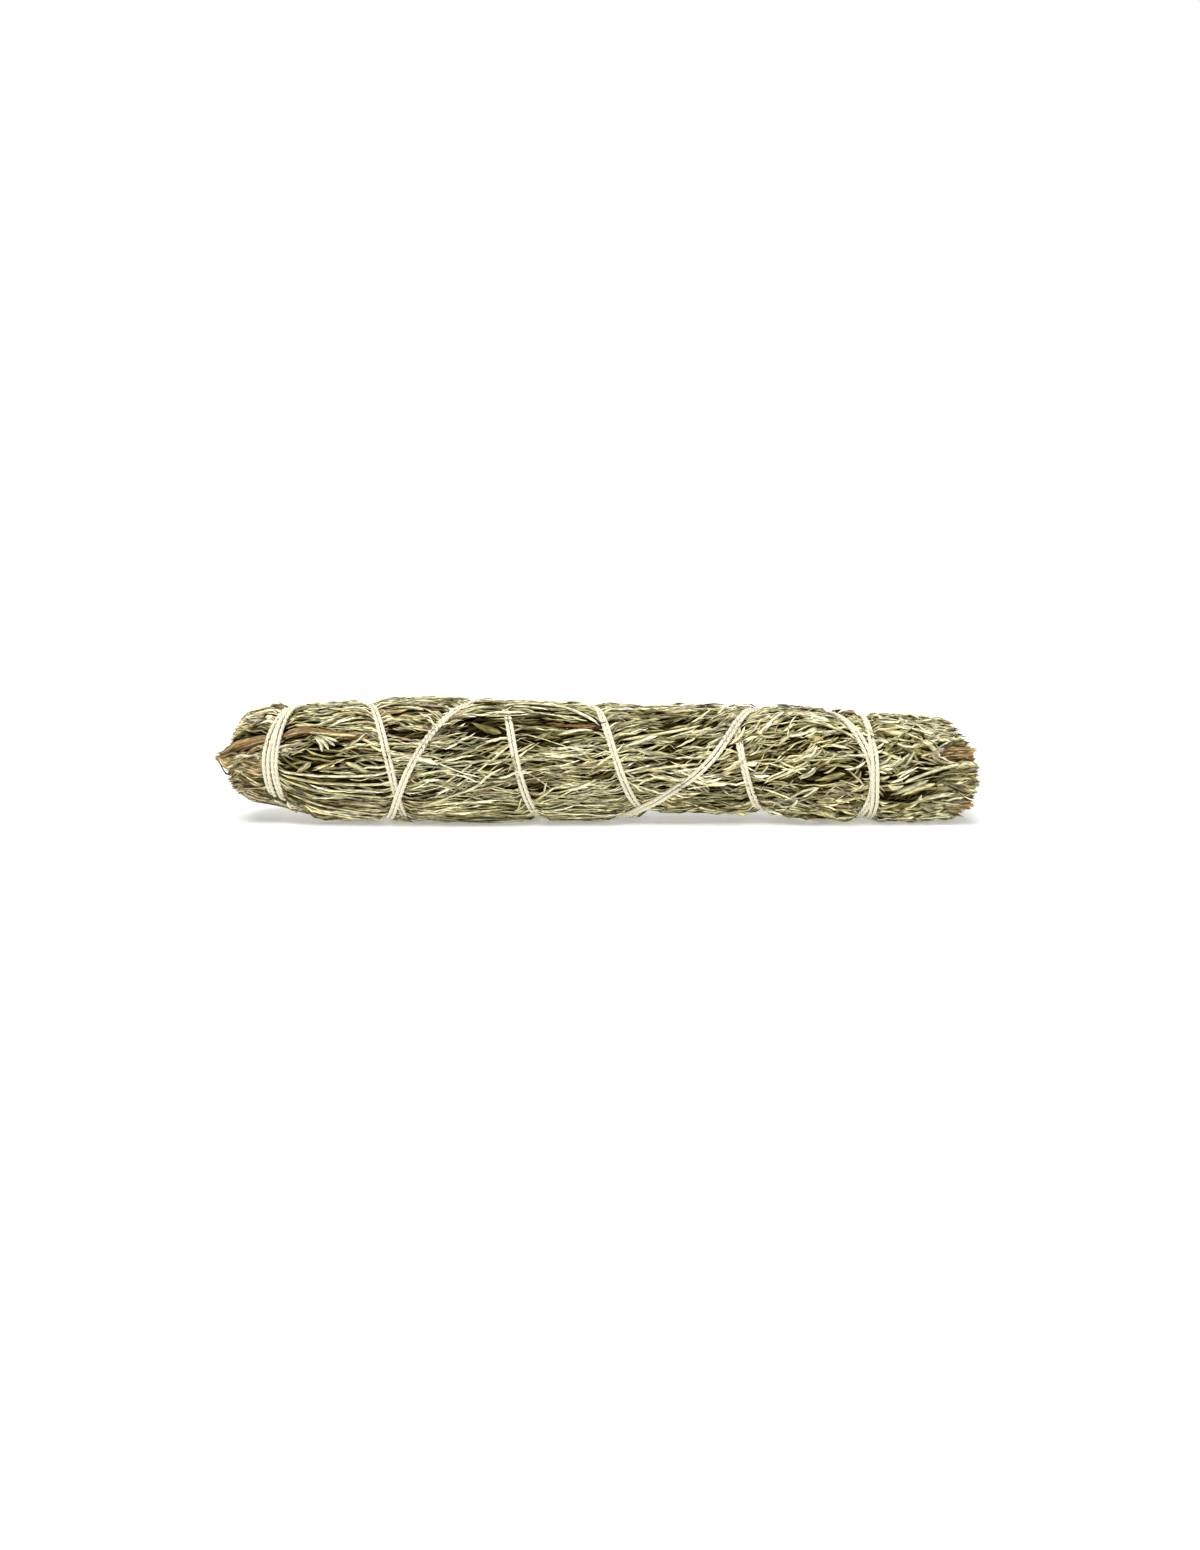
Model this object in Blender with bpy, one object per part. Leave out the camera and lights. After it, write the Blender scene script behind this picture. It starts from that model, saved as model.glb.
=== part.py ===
"""A tied bunch of dried sagebrush, lying on its side.

X runs along the bunch, +Z is up, the ground is z = 0 and the front faces -Y.
Leafy sprigs lie side by side round a few inner ones, cut woody stems show at
the ends, and one doubled cotton string is wound round them all and knotted.
Lengths below are in millimetres; the meshes are made in metres.
"""
import math
import random

import bmesh
import bpy
import numpy as np
from mathutils import Vector
from mathutils.bvhtree import BVHTree

MM = 0.001
SEED = 13
WELD = 0.001

# Outline of the bunch: place along it, radius over its leaves, height of its middle line
OUTLINE = [
    (-112.5, 2.0, 19.1),
    (-109.0, 6.4, 17.4),
    (-102.0, 12.6, 19.0),
    (-95.0, 14.0, 19.2),
    (-88.0, 15.7, 18.3),
    (-80.0, 17.2, 17.6),
    (-64.0, 17.8, 17.6),
    (-49.0, 17.8, 17.6),
    (-35.0, 17.8, 17.6),
    (-17.0, 17.2, 17.4),
    (3.0, 16.8, 17.2),
    (14.0, 15.4, 18.0),
    (32.0, 15.4, 18.0),
    (50.0, 15.4, 18.0),
    (62.0, 16.2, 16.7),
    (74.0, 15.8, 16.0),
    (86.0, 15.4, 15.4),
    (102.0, 14.2, 14.9),
    (112.5, 12.6, 14.5),
]
OUTLINE_X, OUTLINE_RADIUS, OUTLINE_HEIGHT = (np.array(column) for column in zip(*OUTLINE))
HALF_LENGTH = 112.5

# Sprigs: how they share the cross-section
OUTER_SPRIGS = 9
INNER_SPRIGS = 3
LEAF_DEPTH = 2.2
INNER_SHARE = 0.5
GAP = 0.32
SWAY_DEG = 6.0
SWAY_WAVE = (170.0, 260.0)

# Where the outer sprigs' twigs end, on the underside, and how much shorter they are on top
LEFT_END = -103.0
LEFT_END_STEP = 2.0
RIGHT_END = 101.5
RIGHT_END_STEP = -4.5
INNER_ENDS = (-103.5, 103.0)
END_SCATTER = 1.5
RAGGED_END = 1.2

# Ridges of the bundled twigs: how far edges and valleys lie under the ridge tops
EDGE_DROP = 0.7
VALLEY_DROP = 0.9
INNER_EDGE_DROP = 0.3
RIDGE_SHARE = 0.5
INNER_RIDGE_SHARE = 0.35
RIDGE_DRIFT = 0.12
RIDGE_WAVE = 23.0
LEAST_BODY = 1.0
MIDDLE_ROOM = 0.9

# Leaves
LEAVES_PER_SPRIG = 36
END_LEAVES = 5
INNER_END_LEAVES = 6
LEAF_LENGTH = (12.0, 21.0)
LEAF_WIDTH = (2.6, 4.4)
LEAF_ROWS = (-0.65, 0.0, 0.65)
ROW_SPREAD = 0.3
ROW_LIMIT = 0.85
ROOT_SHIFT = 5.0
ROOT_SPREAD = 4.0
TIP_LIFT = (1.3, 2.5)
END_SPREAD = 0.7
END_TAPER = 1.6
END_INSET = 4.0
END_ROW_LIMIT = 0.7
END_LEVELS = (0.25, 0.75)
END_ROOT_DEPTH = 0.4
END_HEADING_DEG = 14.0
RIB_RISE = 0.75
ROOT_DEPTH = 2.0
HEADING_SPREAD_DEG = 20.0
HEADING_WAVE = 11.0
HEADING_NOISE_DEG = 9.0
TOOTHED_SHARE = 0.55
TRIES = 60
CHOICES = 5
LAST_SHRINK = 0.45
EDGE_SAMPLES = (0.25, 0.5, 0.75)
GROUND_CLEARANCE = 0.15
FULL_LIFT = 2.7
LEAST_SQUEEZE = 0.1

# Leaves that the bunch's weight presses flat on the ground: middle x, y, length
PRESSED_LEAVES = [
    (-45.5, -2.2, 17.0),
    (-36.0, 2.2, 17.0),
    (-26.5, -2.3, 14.0),
    (56.5, 2.2, 14.0),
    (64.0, -2.2, 14.0),
    (89.0, 0.3, 12.0),
]
PRESSED_WIDTH = 4.4
PRESSED_HEIGHT = 3.2
PRESSED_FOOT = 0.8
PRESSED_OUTLINE = [(-0.5, 0), (-0.2, 0.42), (0.25, 0.5), (0.5, 0), (0.25, -0.5), (-0.2, -0.42)]

# Leaf shapes: the widest place of both, and the rim of the three-toothed one beyond it, as shares
# of the leaf's length, half width and tip lift
PLAIN_WIDEST = 0.5
TOOTHED_WIDEST = 0.62
WIDEST_HALF = 0.9
WIDEST_LIFT = 0.4
TOOTHED_RIM = [(0.93, 1.1, 0.8), (0.85, 0.42, 0.7), (1.0, 0.0, 1.0), (0.85, -0.42, 0.7), (0.93, -1.1, 0.8)]

# String: width and thickness of the doubled cord, and the places where each turn passes the
# top, the front and the bottom of the bunch, in the order in which it is wound
STRING_WIDTH = 2.3
STRING_THICKNESS = 1.1
STRING_STANDOFF = 0.5
STRING_TURNS = [
    (-90.4, -95.4, -91.6),
    (-66.7, -59.4, -54.5),
    (-28.3, -22.9, -15.6),
    (-0.9, 6.1, 15.5),
    (37.9, 41.9, 49.0),
    (69.3, 79.0, 75.2),
    (77.4, 79.5, 78.6),
    (46.3, 30.6, 1.5),
    (-36.7, -54.0, -63.2),
    (-87.9, -92.9, -89.1),
]
STRING_START = [(-125.0, -85.6), (-90.0, -86.4), (0.0, -90.5)]
STRING_END_DEG = 235.0 + 360.0 * (len(STRING_TURNS) - 1)
STRING_STEP_DEG = 20.0
STRING_CLEAR = 0.85
# Room that leaves leave for it under and over its middle line
STRING_UNDER = 0.15
STRING_OVER = 0.6
# Where it lies over an earlier turn of itself: how far apart the two are at most, how high it rises,
# and how far before and after that it starts to
OVERLAP = 2.4
OVERLAP_STEP_DEG = 2.0
OVERLAP_MARGIN_DEG = 10.0
CROSSING_LIFT = 1.5
CROSSING_RAMP_DEG = 18.0
# Knot, and how far its two frayed tails reach from it
KNOT_RADIUS = 1.9
KNOT_THICKNESS = 0.7
KNOT_RISE = 0.4
TAIL_REACHES = [(6.5, -1.0, -2.2), (4.0, 1.2, -2.6)]
TAIL_RADII = (0.5, 0.45, 0.3)
TAIL_ROOT_RISE = 0.3
TAIL_BOW = 0.5

# Woody stems: (x, share of the bunch's radius, angle, radius of the stem) along each
STEMS = {
    "woody_stem_left": [
        (-111.9, 0.2, 155, 0.6), (-109, 0.55, 152, 1.6), (-105, 0.68, 150, 1.8), (-99, 0.74, 150, 1.6),
        (-95, 0.75, 148, 1.3), (-90, 0.76, 145, 1.1), (-84, 0.9, 139, 1.0), (-75, 0.95, 144, 0.9),
        (-66.5, 0.95, 147, 0.8),
    ],
    "woody_stem_right_upper": [
        (110.3, 0.84, 148, 2.2), (102, 0.8, 148, 2.1), (94, 0.72, 149, 1.8), (84, 0.66, 150, 1.5),
    ],
    "woody_stem_right_lower": [
        (110.0, 0.9, 224, 1.7), (102, 0.84, 224, 1.7), (94, 0.76, 224, 1.7), (84, 0.7, 224, 1.7),
    ],
    "woody_stem_inner_1": [(109.0, 0.3, 90, 1.5), (98, 0.3, 90, 1.5), (84, 0.28, 90, 1.3)],
    "woody_stem_inner_2": [(107.5, 0.3, 210, 1.5), (98, 0.3, 210, 1.5), (84, 0.28, 210, 1.3)],
    "woody_stem_inner_3": [(-106.0, 0.3, 330, 1.5), (-98, 0.3, 330, 1.5), (-84, 0.28, 330, 1.3)],
}
STEM_GAP = 0.35

LEAF_COLOUR = (0.36, 0.34, 0.19, 1.0)
INNER_COLOUR = (0.28, 0.25, 0.14, 1.0)
WOOD_COLOUR = (0.42, 0.22, 0.09, 1.0)
STRING_COLOUR = (0.84, 0.80, 0.66, 1.0)


def bunch_radius(x):
    return float(np.interp(x, OUTLINE_X, OUTLINE_RADIUS))


def bunch_height(x):
    return float(np.interp(x, OUTLINE_X, OUTLINE_HEIGHT))


def out_from_middle(angle):
    """Direction that points away from the bunch's middle line at an angle in degrees."""
    turn = math.radians(angle)
    return Vector((0, math.cos(turn), math.sin(turn)))


def twig_radius(x):
    """Radius over the twigs that the leaves of the outer sprigs stand on."""
    return bunch_radius(x) - LEAF_DEPTH


def place(x, angle, radius):
    """Point at x, turned by angle round the middle line (0 back, 90 up, 180 front), in millimetres."""
    turn = math.radians(angle)
    return Vector((x, radius * math.cos(turn), bunch_height(x) + radius * math.sin(turn)))


def material(name, colour, roughness):
    new = bpy.data.materials.new(name)
    new.use_nodes = True
    shader = new.node_tree.nodes["Principled BSDF"]
    shader.inputs["Base Color"].default_value = colour
    shader.inputs["Roughness"].default_value = roughness
    shader.inputs["Metallic"].default_value = 0.0
    new.diffuse_color = colour
    return new


def solid(name, points, faces, surface, collection):
    """Closed object from points in millimetres and faces that point out."""
    mesh = bpy.data.meshes.new(name)
    mesh.from_pydata([tuple(Vector(point) * MM) for point in points], [], faces)
    mesh.materials.append(surface)
    made = bpy.data.objects.new(name, mesh)
    collection.objects.link(made)
    return made


def loft_faces(rings, count):
    """Faces of a closed loft through rings of count points each, with capped ends."""
    faces = [tuple(reversed(range(count)))]
    for ring in range(rings - 1):
        low = ring * count
        for n in range(count):
            m = (n + 1) % count
            faces.append((low + n, low + count + m, low + count + n))
            faces.append((low + n, low + m, low + count + m))
    faces.append(tuple(range((rings - 1) * count, rings * count)))
    return faces


def tube(name, points, radii, surface, collection):
    """Round rod through points in millimetres, as a mesh with welded caps."""
    curve = bpy.data.curves.new(name, "CURVE")
    curve.dimensions = "3D"
    curve.bevel_depth = MM
    curve.bevel_resolution = 2
    curve.use_fill_caps = True
    spline = curve.splines.new("POLY")
    spline.points.add(len(points) - 1)
    for knot, point, radius in zip(spline.points, points, radii):
        knot.co = (*(Vector(point) * MM), 1.0)
        knot.radius = radius
    holder = bpy.data.objects.new(name + "_curve", curve)
    collection.objects.link(holder)
    bpy.context.view_layer.update()
    mesh = bpy.data.meshes.new_from_object(holder.evaluated_get(bpy.context.evaluated_depsgraph_get()))
    bpy.data.objects.remove(holder)
    bpy.data.curves.remove(curve)
    body = bmesh.new()
    body.from_mesh(mesh)
    bmesh.ops.remove_doubles(body, verts=body.verts, dist=0.00002)
    bmesh.ops.recalc_face_normals(body, faces=body.faces)
    body.to_mesh(mesh)
    body.free()
    mesh.name = name
    mesh.materials.clear()
    mesh.materials.append(surface)
    made = bpy.data.objects.new(name, mesh)
    collection.objects.link(made)
    return made


def combine(base, others, operation):
    """Join others to base, or cut them from it, by one Boolean on a collection."""
    bag = bpy.data.collections.new(base.name + "_tools")
    bpy.context.scene.collection.children.link(bag)
    for other in others:
        for home in list(other.users_collection):
            home.objects.unlink(other)
        bag.objects.link(other)
    boolean = base.modifiers.new("combine", "BOOLEAN")
    boolean.operation = operation
    boolean.operand_type = "COLLECTION"
    boolean.collection = bag
    boolean.solver = "MANIFOLD"
    bpy.context.view_layer.update()
    graph = bpy.context.evaluated_depsgraph_get()
    joined = bpy.data.meshes.new_from_object(base.evaluated_get(graph))
    base.modifiers.remove(boolean)
    old = base.data
    base.data = joined
    bpy.data.meshes.remove(old)
    joined.name = base.name
    for other in others:
        bpy.data.objects.remove(other)
    bpy.data.collections.remove(bag)


def drop_scraps(body):
    """Keep only the largest connected part of a bmesh."""
    unseen = set(body.verts)
    groups = []
    while unseen:
        group = {unseen.pop()}
        edge_of = list(group)
        while edge_of:
            for edge in edge_of.pop().link_edges:
                for vertex in edge.verts:
                    if vertex in unseen:
                        unseen.discard(vertex)
                        group.add(vertex)
                        edge_of.append(vertex)
        groups.append(group)
    largest = max(groups, key=len)
    scraps = [vertex for vertex in body.verts if vertex not in largest]
    bmesh.ops.delete(body, geom=scraps, context="VERTS")


def drop_folds(body):
    """Remove pairs of triangles of a bmesh that lie back to back on the same corners."""
    bmesh.ops.remove_doubles(body, verts=body.verts, dist=WELD * MM)
    bmesh.ops.triangulate(body, faces=body.faces)
    body.verts.index_update()
    groups = {}
    for face in body.faces:
        groups.setdefault(frozenset(vertex.index for vertex in face.verts), []).append(face)
    folds = [face for group in groups.values() if len(group) > 1 for face in group]
    bmesh.ops.delete(body, geom=folds, context="FACES")


def clean_mesh(base):
    """Leave one clean closed body of an object that was joined from many."""
    body = bmesh.new()
    body.from_mesh(base.data)
    drop_scraps(body)
    drop_folds(body)
    body.to_mesh(base.data)
    body.free()


def hermite(knots, values, where):
    """Smooth curve through values at knots, read at where."""
    slopes = np.gradient(values, knots)
    spot = int(np.clip(np.searchsorted(knots, where) - 1, 0, len(knots) - 2))
    span = knots[spot + 1] - knots[spot]
    t = (where - knots[spot]) / span
    start = values[spot] * (1 + 2 * t) * (1 - t) ** 2 + slopes[spot] * span * t * (1 - t) ** 2
    end = values[spot + 1] * t * t * (3 - 2 * t) + slopes[spot + 1] * span * t * t * (t - 1)
    return float(start + end)


def string_knots():
    """Turn angles and places of the points that the string is wound through."""
    turns = [turn for turn, _ in STRING_START]
    places = [spot for _, spot in STRING_START]
    for number, (top, front, bottom) in enumerate(STRING_TURNS):
        for quarter, spot in ((90, top), (180, front), (270, bottom)):
            turns.append(quarter + 360.0 * number)
            places.append(spot)
    return np.array(turns), np.array(places)


def string_overlaps(knots, places):
    """Turn angles at which the string lies over an earlier turn of itself."""
    found = []
    for back in range(1, len(STRING_TURNS) + 1):
        for turn in np.arange(knots[0] + 360.0 * back, STRING_END_DEG, OVERLAP_STEP_DEG):
            gap = hermite(knots, places, turn) - hermite(knots, places, turn - 360.0 * back)
            if abs(gap) < OVERLAP:
                found.append(turn)
    return np.array(found)


def string_path():
    """Middle line of the wound string: (x, turn angle, radius) in steps of a fixed angle."""
    knots, places = string_knots()
    overlaps = string_overlaps(knots, places)
    steps = int((STRING_END_DEG - knots[0]) / STRING_STEP_DEG)
    path = []
    for turn in np.linspace(knots[0], STRING_END_DEG, steps + 1):
        x = hermite(knots, places, turn)
        away = float(np.abs(overlaps - turn).min())
        share = 1 - (away - OVERLAP_MARGIN_DEG) / CROSSING_RAMP_DEG
        lift = CROSSING_LIFT * min(1.0, max(0.0, share))
        radius = twig_radius(x) + STRING_STANDOFF + STRING_THICKNESS / 2 + lift
        down = -math.sin(math.radians(turn))
        if down > 0:
            radius = min(radius, (bunch_height(x) - STRING_CLEAR) / down)
        path.append((x, float(turn), radius))
    return path


def make_string(path, surface, collection):
    """Doubled cord: two strands side by side, as one loft, with its knot and tails."""
    wide = STRING_WIDTH / 2
    thick = STRING_THICKNESS / 2
    outline = [(wide, 0), (wide / 2, thick), (0, thick / 2), (-wide / 2, thick),
               (-wide, 0), (-wide / 2, -thick), (0, -thick / 2), (wide / 2, -thick)]
    centres = [place(x, turn, radius) for x, turn, radius in path]
    points = []
    for n, (x, turn, _) in enumerate(path):
        ahead = centres[min(n + 1, len(path) - 1)]
        behind = centres[max(n - 1, 0)]
        along = (ahead - behind).normalized()
        out = out_from_middle(turn)
        side = out.cross(along).normalized()
        out = along.cross(side)
        points += [centres[n] + side * across + out * up for across, up in outline]
    cord = solid("tie_string", points, loft_faces(len(path), len(outline)), surface, collection)

    ends = (centres[0] + centres[-1]) / 2
    out = out_from_middle(STRING_END_DEG)
    bpy.ops.mesh.primitive_torus_add(
        major_radius=KNOT_RADIUS * MM, minor_radius=KNOT_THICKNESS * MM, major_segments=10, minor_segments=6,
        location=(ends + out * KNOT_RISE) * MM, rotation=out.to_track_quat("Z", "Y").to_euler())
    knot = bpy.context.active_object
    tails = []
    for number, reach in enumerate(TAIL_REACHES):
        root = ends + out * TAIL_ROOT_RISE
        tip = root + Vector(reach)
        bend = root.lerp(tip, 0.5) + out * TAIL_BOW
        tails.append(tube(f"tail_{number}", [root, bend, tip], TAIL_RADII, surface, collection))
    combine(cord, [knot] + tails, "UNION")
    return cord


def sector_edge(edges, number, x):
    """Angle of the wavy line between two outer sprigs."""
    start, wave, phase = edges[number % OUTER_SPRIGS]
    full_turns = 360.0 * (number // OUTER_SPRIGS)
    return start + full_turns + SWAY_DEG * math.sin(2 * math.pi * x / wave + phase)


def ring_places(left, right):
    """Places of a sprig's rings from end to end: those of the outline, so that neighbours match."""
    return [left] + [float(x) for x in OUTLINE_X if left + 3 < x < right - 3] + [right]


class Sprig:
    """The wedge of the bunch that one sprig fills, and where its twigs end."""

    def __init__(self, name, low, high, inner, left, right, heading, outer):
        self.name = name
        self.low = np.array([low(x) for x in OUTLINE_X])
        self.high = np.array([high(x) for x in OUTLINE_X])
        self.inner = inner
        self.left = left
        self.right = right
        self.heading = heading
        self.outer = outer

    def limits(self, x, radius):
        """Angles between which the sprig may reach at x and radius, with half of the gap taken off."""
        inset = math.degrees(GAP / max(radius, 1.0))
        low = float(np.interp(x, OUTLINE_X, self.low))
        high = float(np.interp(x, OUTLINE_X, self.high))
        return low + inset, high - inset

    def angle(self, x, radius, share):
        low, high = self.limits(x, radius)
        return (low + high) / 2 + share * (high - low) / 2

    def holds(self, point):
        """Whether a point in millimetres lies inside the wedge."""
        x, y, z = point
        rise = z - bunch_height(x)
        radius = math.hypot(y, rise)
        if self.outer and radius < self.inner(x) + GAP:
            return False
        if not self.outer and radius > self.inner(x) - GAP:
            return False
        if abs(x) > HALF_LENGTH or radius < 0.6:
            return False
        low, high = self.limits(x, radius)
        angle = math.degrees(math.atan2(rise, y))
        while angle < low:
            angle += 360.0
        while angle > low + 360.0:
            angle -= 360.0
        return angle <= high


def twig_section(sprig, x, at_end, drift):
    """Outline of a sprig's twigs across the bunch: (share of the way round the sprig, radius)."""
    if sprig.outer:
        low, high = sprig.limits(x, sprig.inner(x))
        hold = (sprig.inner(x) + GAP) / math.cos(math.radians(high - low) / 2)
        top = max(twig_radius(x) - (END_TAPER if at_end else 0.0), hold + LEAST_BODY)
        edge = top - EDGE_DROP
        return [(-1, edge), (-RIDGE_SHARE + drift, top), (drift, top - VALLEY_DROP),
                (RIDGE_SHARE + drift, top), (1, edge), (1, hold), (-1, hold)]
    top = sprig.inner(x) - GAP - (END_TAPER / 2 if at_end else 0.0)
    edge = top - INNER_EDGE_DROP
    return [(-1, edge), (-INNER_RIDGE_SHARE, top), (INNER_RIDGE_SHARE, top), (1, edge), (0, MIDDLE_ROOM)]


def make_twigs(sprig, rng, surface, collection):
    """The slim ridged body of a sprig: its bundled twigs, which the leaves stand on."""
    places = ring_places(sprig.left, sprig.right)
    sway = rng.uniform(0, 2 * math.pi)
    points = []
    for n, x in enumerate(places):
        at_end = n in (0, len(places) - 1)
        spread = END_SPREAD if at_end else 1.0
        section = twig_section(sprig, x, at_end, RIDGE_DRIFT * math.sin(x / RIDGE_WAVE + sway))
        for share, radius in section:
            ragged = rng.uniform(-RAGGED_END, RAGGED_END) if at_end else 0.0
            points.append(place(x + ragged, sprig.angle(x, radius, share * spread), radius))
    return solid(sprig.name, points, loft_faces(len(places), len(section)), surface, collection)


def leaf_form(length, width, lift, toothed):
    """Corners of a leaf as (along, across, up) and its triangles; three-toothed ones end in notches."""
    half = width / 2
    widest = length * (TOOTHED_WIDEST if toothed else PLAIN_WIDEST)
    edge = WIDEST_LIFT * lift
    corners = [(0, 0, -ROOT_DEPTH), (widest, half * WIDEST_HALF, edge), (widest, 0, edge + RIB_RISE),
               (widest, -half * WIDEST_HALF, edge)]
    faces = [(0, 2, 1), (0, 3, 2), (0, 1, 3)]
    if toothed:
        corners += [(length * along, half * across, lift * up) for along, across, up in TOOTHED_RIM]
        rim = [3, 8, 7, 6, 5, 4, 1]
        faces += [(2, rim[n], rim[n + 1]) for n in range(len(rim) - 1)]
        faces += [(1, 4, 5), (5, 6, 7), (7, 8, 3), (1, 5, 7), (1, 7, 3)]
    else:
        corners.append((length, 0, lift))
        faces += [(2, 4, 1), (3, 4, 2), (1, 4, 3)]
    return corners, faces


def squeeze(x, angle, base):
    """How much of a leaf's height is left between the twigs and the ground."""
    down = -math.sin(math.radians(angle))
    if down <= 0.05:
        return 1.0
    room = (bunch_height(x) - GROUND_CLEARANCE) / down - base
    return min(1.0, max(LEAST_SQUEEZE, room / FULL_LIFT))


def leaf_points(form, x, angle, heading, base_radius):
    """Bend a leaf's corners round the bunch, from its root at x and angle."""
    turn = math.radians(heading)
    points = []
    for along, across, up in form:
        spot = x + along * math.cos(turn) - across * math.sin(turn)
        base = base_radius(spot)
        shift = -(along * math.sin(turn) + across * math.cos(turn)) / max(base, 3.0)
        bearing = angle + math.degrees(shift)
        if up > 0:
            up = up * squeeze(spot, bearing, base)
        points.append(place(spot, bearing, base + up))
    return points


def edge_samples(points, faces):
    """Points along all edges of a leaf, to test where it reaches."""
    edges = {tuple(sorted(pair)) for a, b, c in faces for pair in ((a, b), (b, c), (c, a))}
    samples = list(points)
    for a, b in edges:
        samples += [points[a].lerp(points[b], share) for share in EDGE_SAMPLES]
    return samples


class Obstacles:
    """Round bodies that leaves keep clear of: lines of points with a radius each."""

    STEP = 0.7

    def __init__(self):
        self.points = np.zeros((0, 3))
        self.radii = np.zeros(0)

    def add(self, line, radii):
        for a, b, start, end in zip(line, line[1:], radii, radii[1:]):
            steps = max(2, int((b - a).length / self.STEP))
            shares = np.arange(steps + 1) / steps
            self.points = np.vstack([self.points, [tuple(a.lerp(b, share)) for share in shares]])
            self.radii = np.append(self.radii, start + (end - start) * shares)

    def clear_of(self, samples):
        near = np.array([tuple(sample) for sample in samples])
        reach = np.linalg.norm(near[:, None, :] - self.points[None, :, :], axis=2) - self.radii[None, :]
        return reach.min() > 0


def side_leaf(sprig, rng, x):
    """Heading and base of a leaf on the sprig's outer side."""
    heading = sprig.heading + HEADING_SPREAD_DEG * math.sin(x / HEADING_WAVE)
    return heading + rng.uniform(-HEADING_NOISE_DEG, HEADING_NOISE_DEG), twig_radius


def end_leaf(sprig, rng, x):
    """Heading and base of a leaf that leaves the sprig's end at some depth in it."""
    level = rng.uniform(*END_LEVELS)
    wall = sprig.inner(x)
    radius = wall + level * (twig_radius(x) - wall) if sprig.outer else level * wall
    portion = radius / bunch_radius(x)
    heading = 0.0 if x > 0 else 180.0
    heading += rng.uniform(-END_HEADING_DEG, END_HEADING_DEG)
    return heading, lambda spot: portion * bunch_radius(spot)


def grow_leaf(sprig, rng, obstacles, grown, x, share, at_end, surface, collection):
    """One leaf rooted near x: of a few that fit, the one that crosses the fewest others."""
    best = None
    fitting = 0
    for attempt in range(TRIES):
        length = rng.uniform(*LEAF_LENGTH) * (1 - LAST_SHRINK * attempt / TRIES)
        width = rng.uniform(*LEAF_WIDTH)
        lift = rng.uniform(*TIP_LIFT)
        corners, faces = leaf_form(length, width, lift, rng.random() < TOOTHED_SHARE)
        root_share = share + rng.uniform(-ROW_SPREAD, ROW_SPREAD)
        root_share = min(ROW_LIMIT, max(-ROW_LIMIT, root_share))
        if at_end:
            root_x = x
            heading, base_radius = end_leaf(sprig, rng, x)
            corners = [(along, across, max(up, -END_ROOT_DEPTH)) for along, across, up in corners]
        else:
            root_x = x + rng.uniform(-ROOT_SPREAD, ROOT_SPREAD)
            heading, base_radius = side_leaf(sprig, rng, x)
        angle = sprig.angle(root_x, base_radius(root_x), root_share)
        points = leaf_points(corners, root_x, angle, heading, base_radius)
        samples = edge_samples(points, faces)
        if all(sprig.holds(sample) for sample in samples) and obstacles.clear_of(samples):
            tree = BVHTree.FromPolygons(points, faces)
            crossed = sum(len(tree.overlap(other)) for other in grown)
            if best is None or crossed < best[0]:
                best = (crossed, points, faces, tree)
            fitting += 1
        if fitting == CHOICES:
            break
    if best is None:
        return None
    _, points, faces, tree = best
    grown.append(tree)
    return solid(sprig.name + "_leaf", points, faces, surface, collection)


def pressed_leaf(sprig, x, y, length, surface, collection):
    """Flat-bottomed leaf on the ground, its upper side sunk in the twigs."""
    points = []
    for height, size in ((0.0, PRESSED_FOOT), (PRESSED_HEIGHT, 1.0)):
        for along, across in PRESSED_OUTLINE:
            points.append((x + along * length * size, y + across * PRESSED_WIDTH * size, height))
    count = len(PRESSED_OUTLINE)
    faces = [tuple(range(count)), tuple(reversed(range(count, 2 * count)))]
    faces += [(n, n + count, (n + 1) % count + count, (n + 1) % count) for n in range(count)]
    return solid(sprig.name + "_pressed", points, faces, surface, collection)


def sprig_plan(rng):
    """All sprigs of the bunch: the outer ring, then the inner ones."""
    edges = []
    for number in range(OUTER_SPRIGS):
        start = -90.0 - 180.0 / OUTER_SPRIGS + 360.0 * number / OUTER_SPRIGS
        edges.append((start, rng.uniform(*SWAY_WAVE), rng.uniform(0, 2 * math.pi)))
    sprigs = []
    for number in range(OUTER_SPRIGS):
        middle = math.radians(edges[number][0] + 180.0 / OUTER_SPRIGS)
        upward = max(0.0, math.sin(middle))
        left = LEFT_END + LEFT_END_STEP * upward + rng.uniform(-END_SCATTER, END_SCATTER)
        right = RIGHT_END + RIGHT_END_STEP * upward + rng.uniform(-END_SCATTER, END_SCATTER)
        sprigs.append(Sprig(
            f"leafy_sprig_{number + 1:02d}",
            lambda x, number=number: sector_edge(edges, number, x),
            lambda x, number=number: sector_edge(edges, number + 1, x),
            lambda x: INNER_SHARE * bunch_radius(x),
            left, right, 180.0 if number % 3 == 1 else 0.0, True))
    for number in range(INNER_SPRIGS):
        middle = 90.0 + 360.0 * number / INNER_SPRIGS
        half = 180.0 / INNER_SPRIGS
        left, right = (end + rng.uniform(-END_SCATTER, END_SCATTER) for end in INNER_ENDS)
        sprigs.append(Sprig(
            f"inner_sprig_{number + 1}",
            lambda x, middle=middle, half=half: middle - half,
            lambda x, middle=middle, half=half: middle + half,
            lambda x: INNER_SHARE * bunch_radius(x),
            left, right, 0.0, False))
    return sprigs


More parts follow.
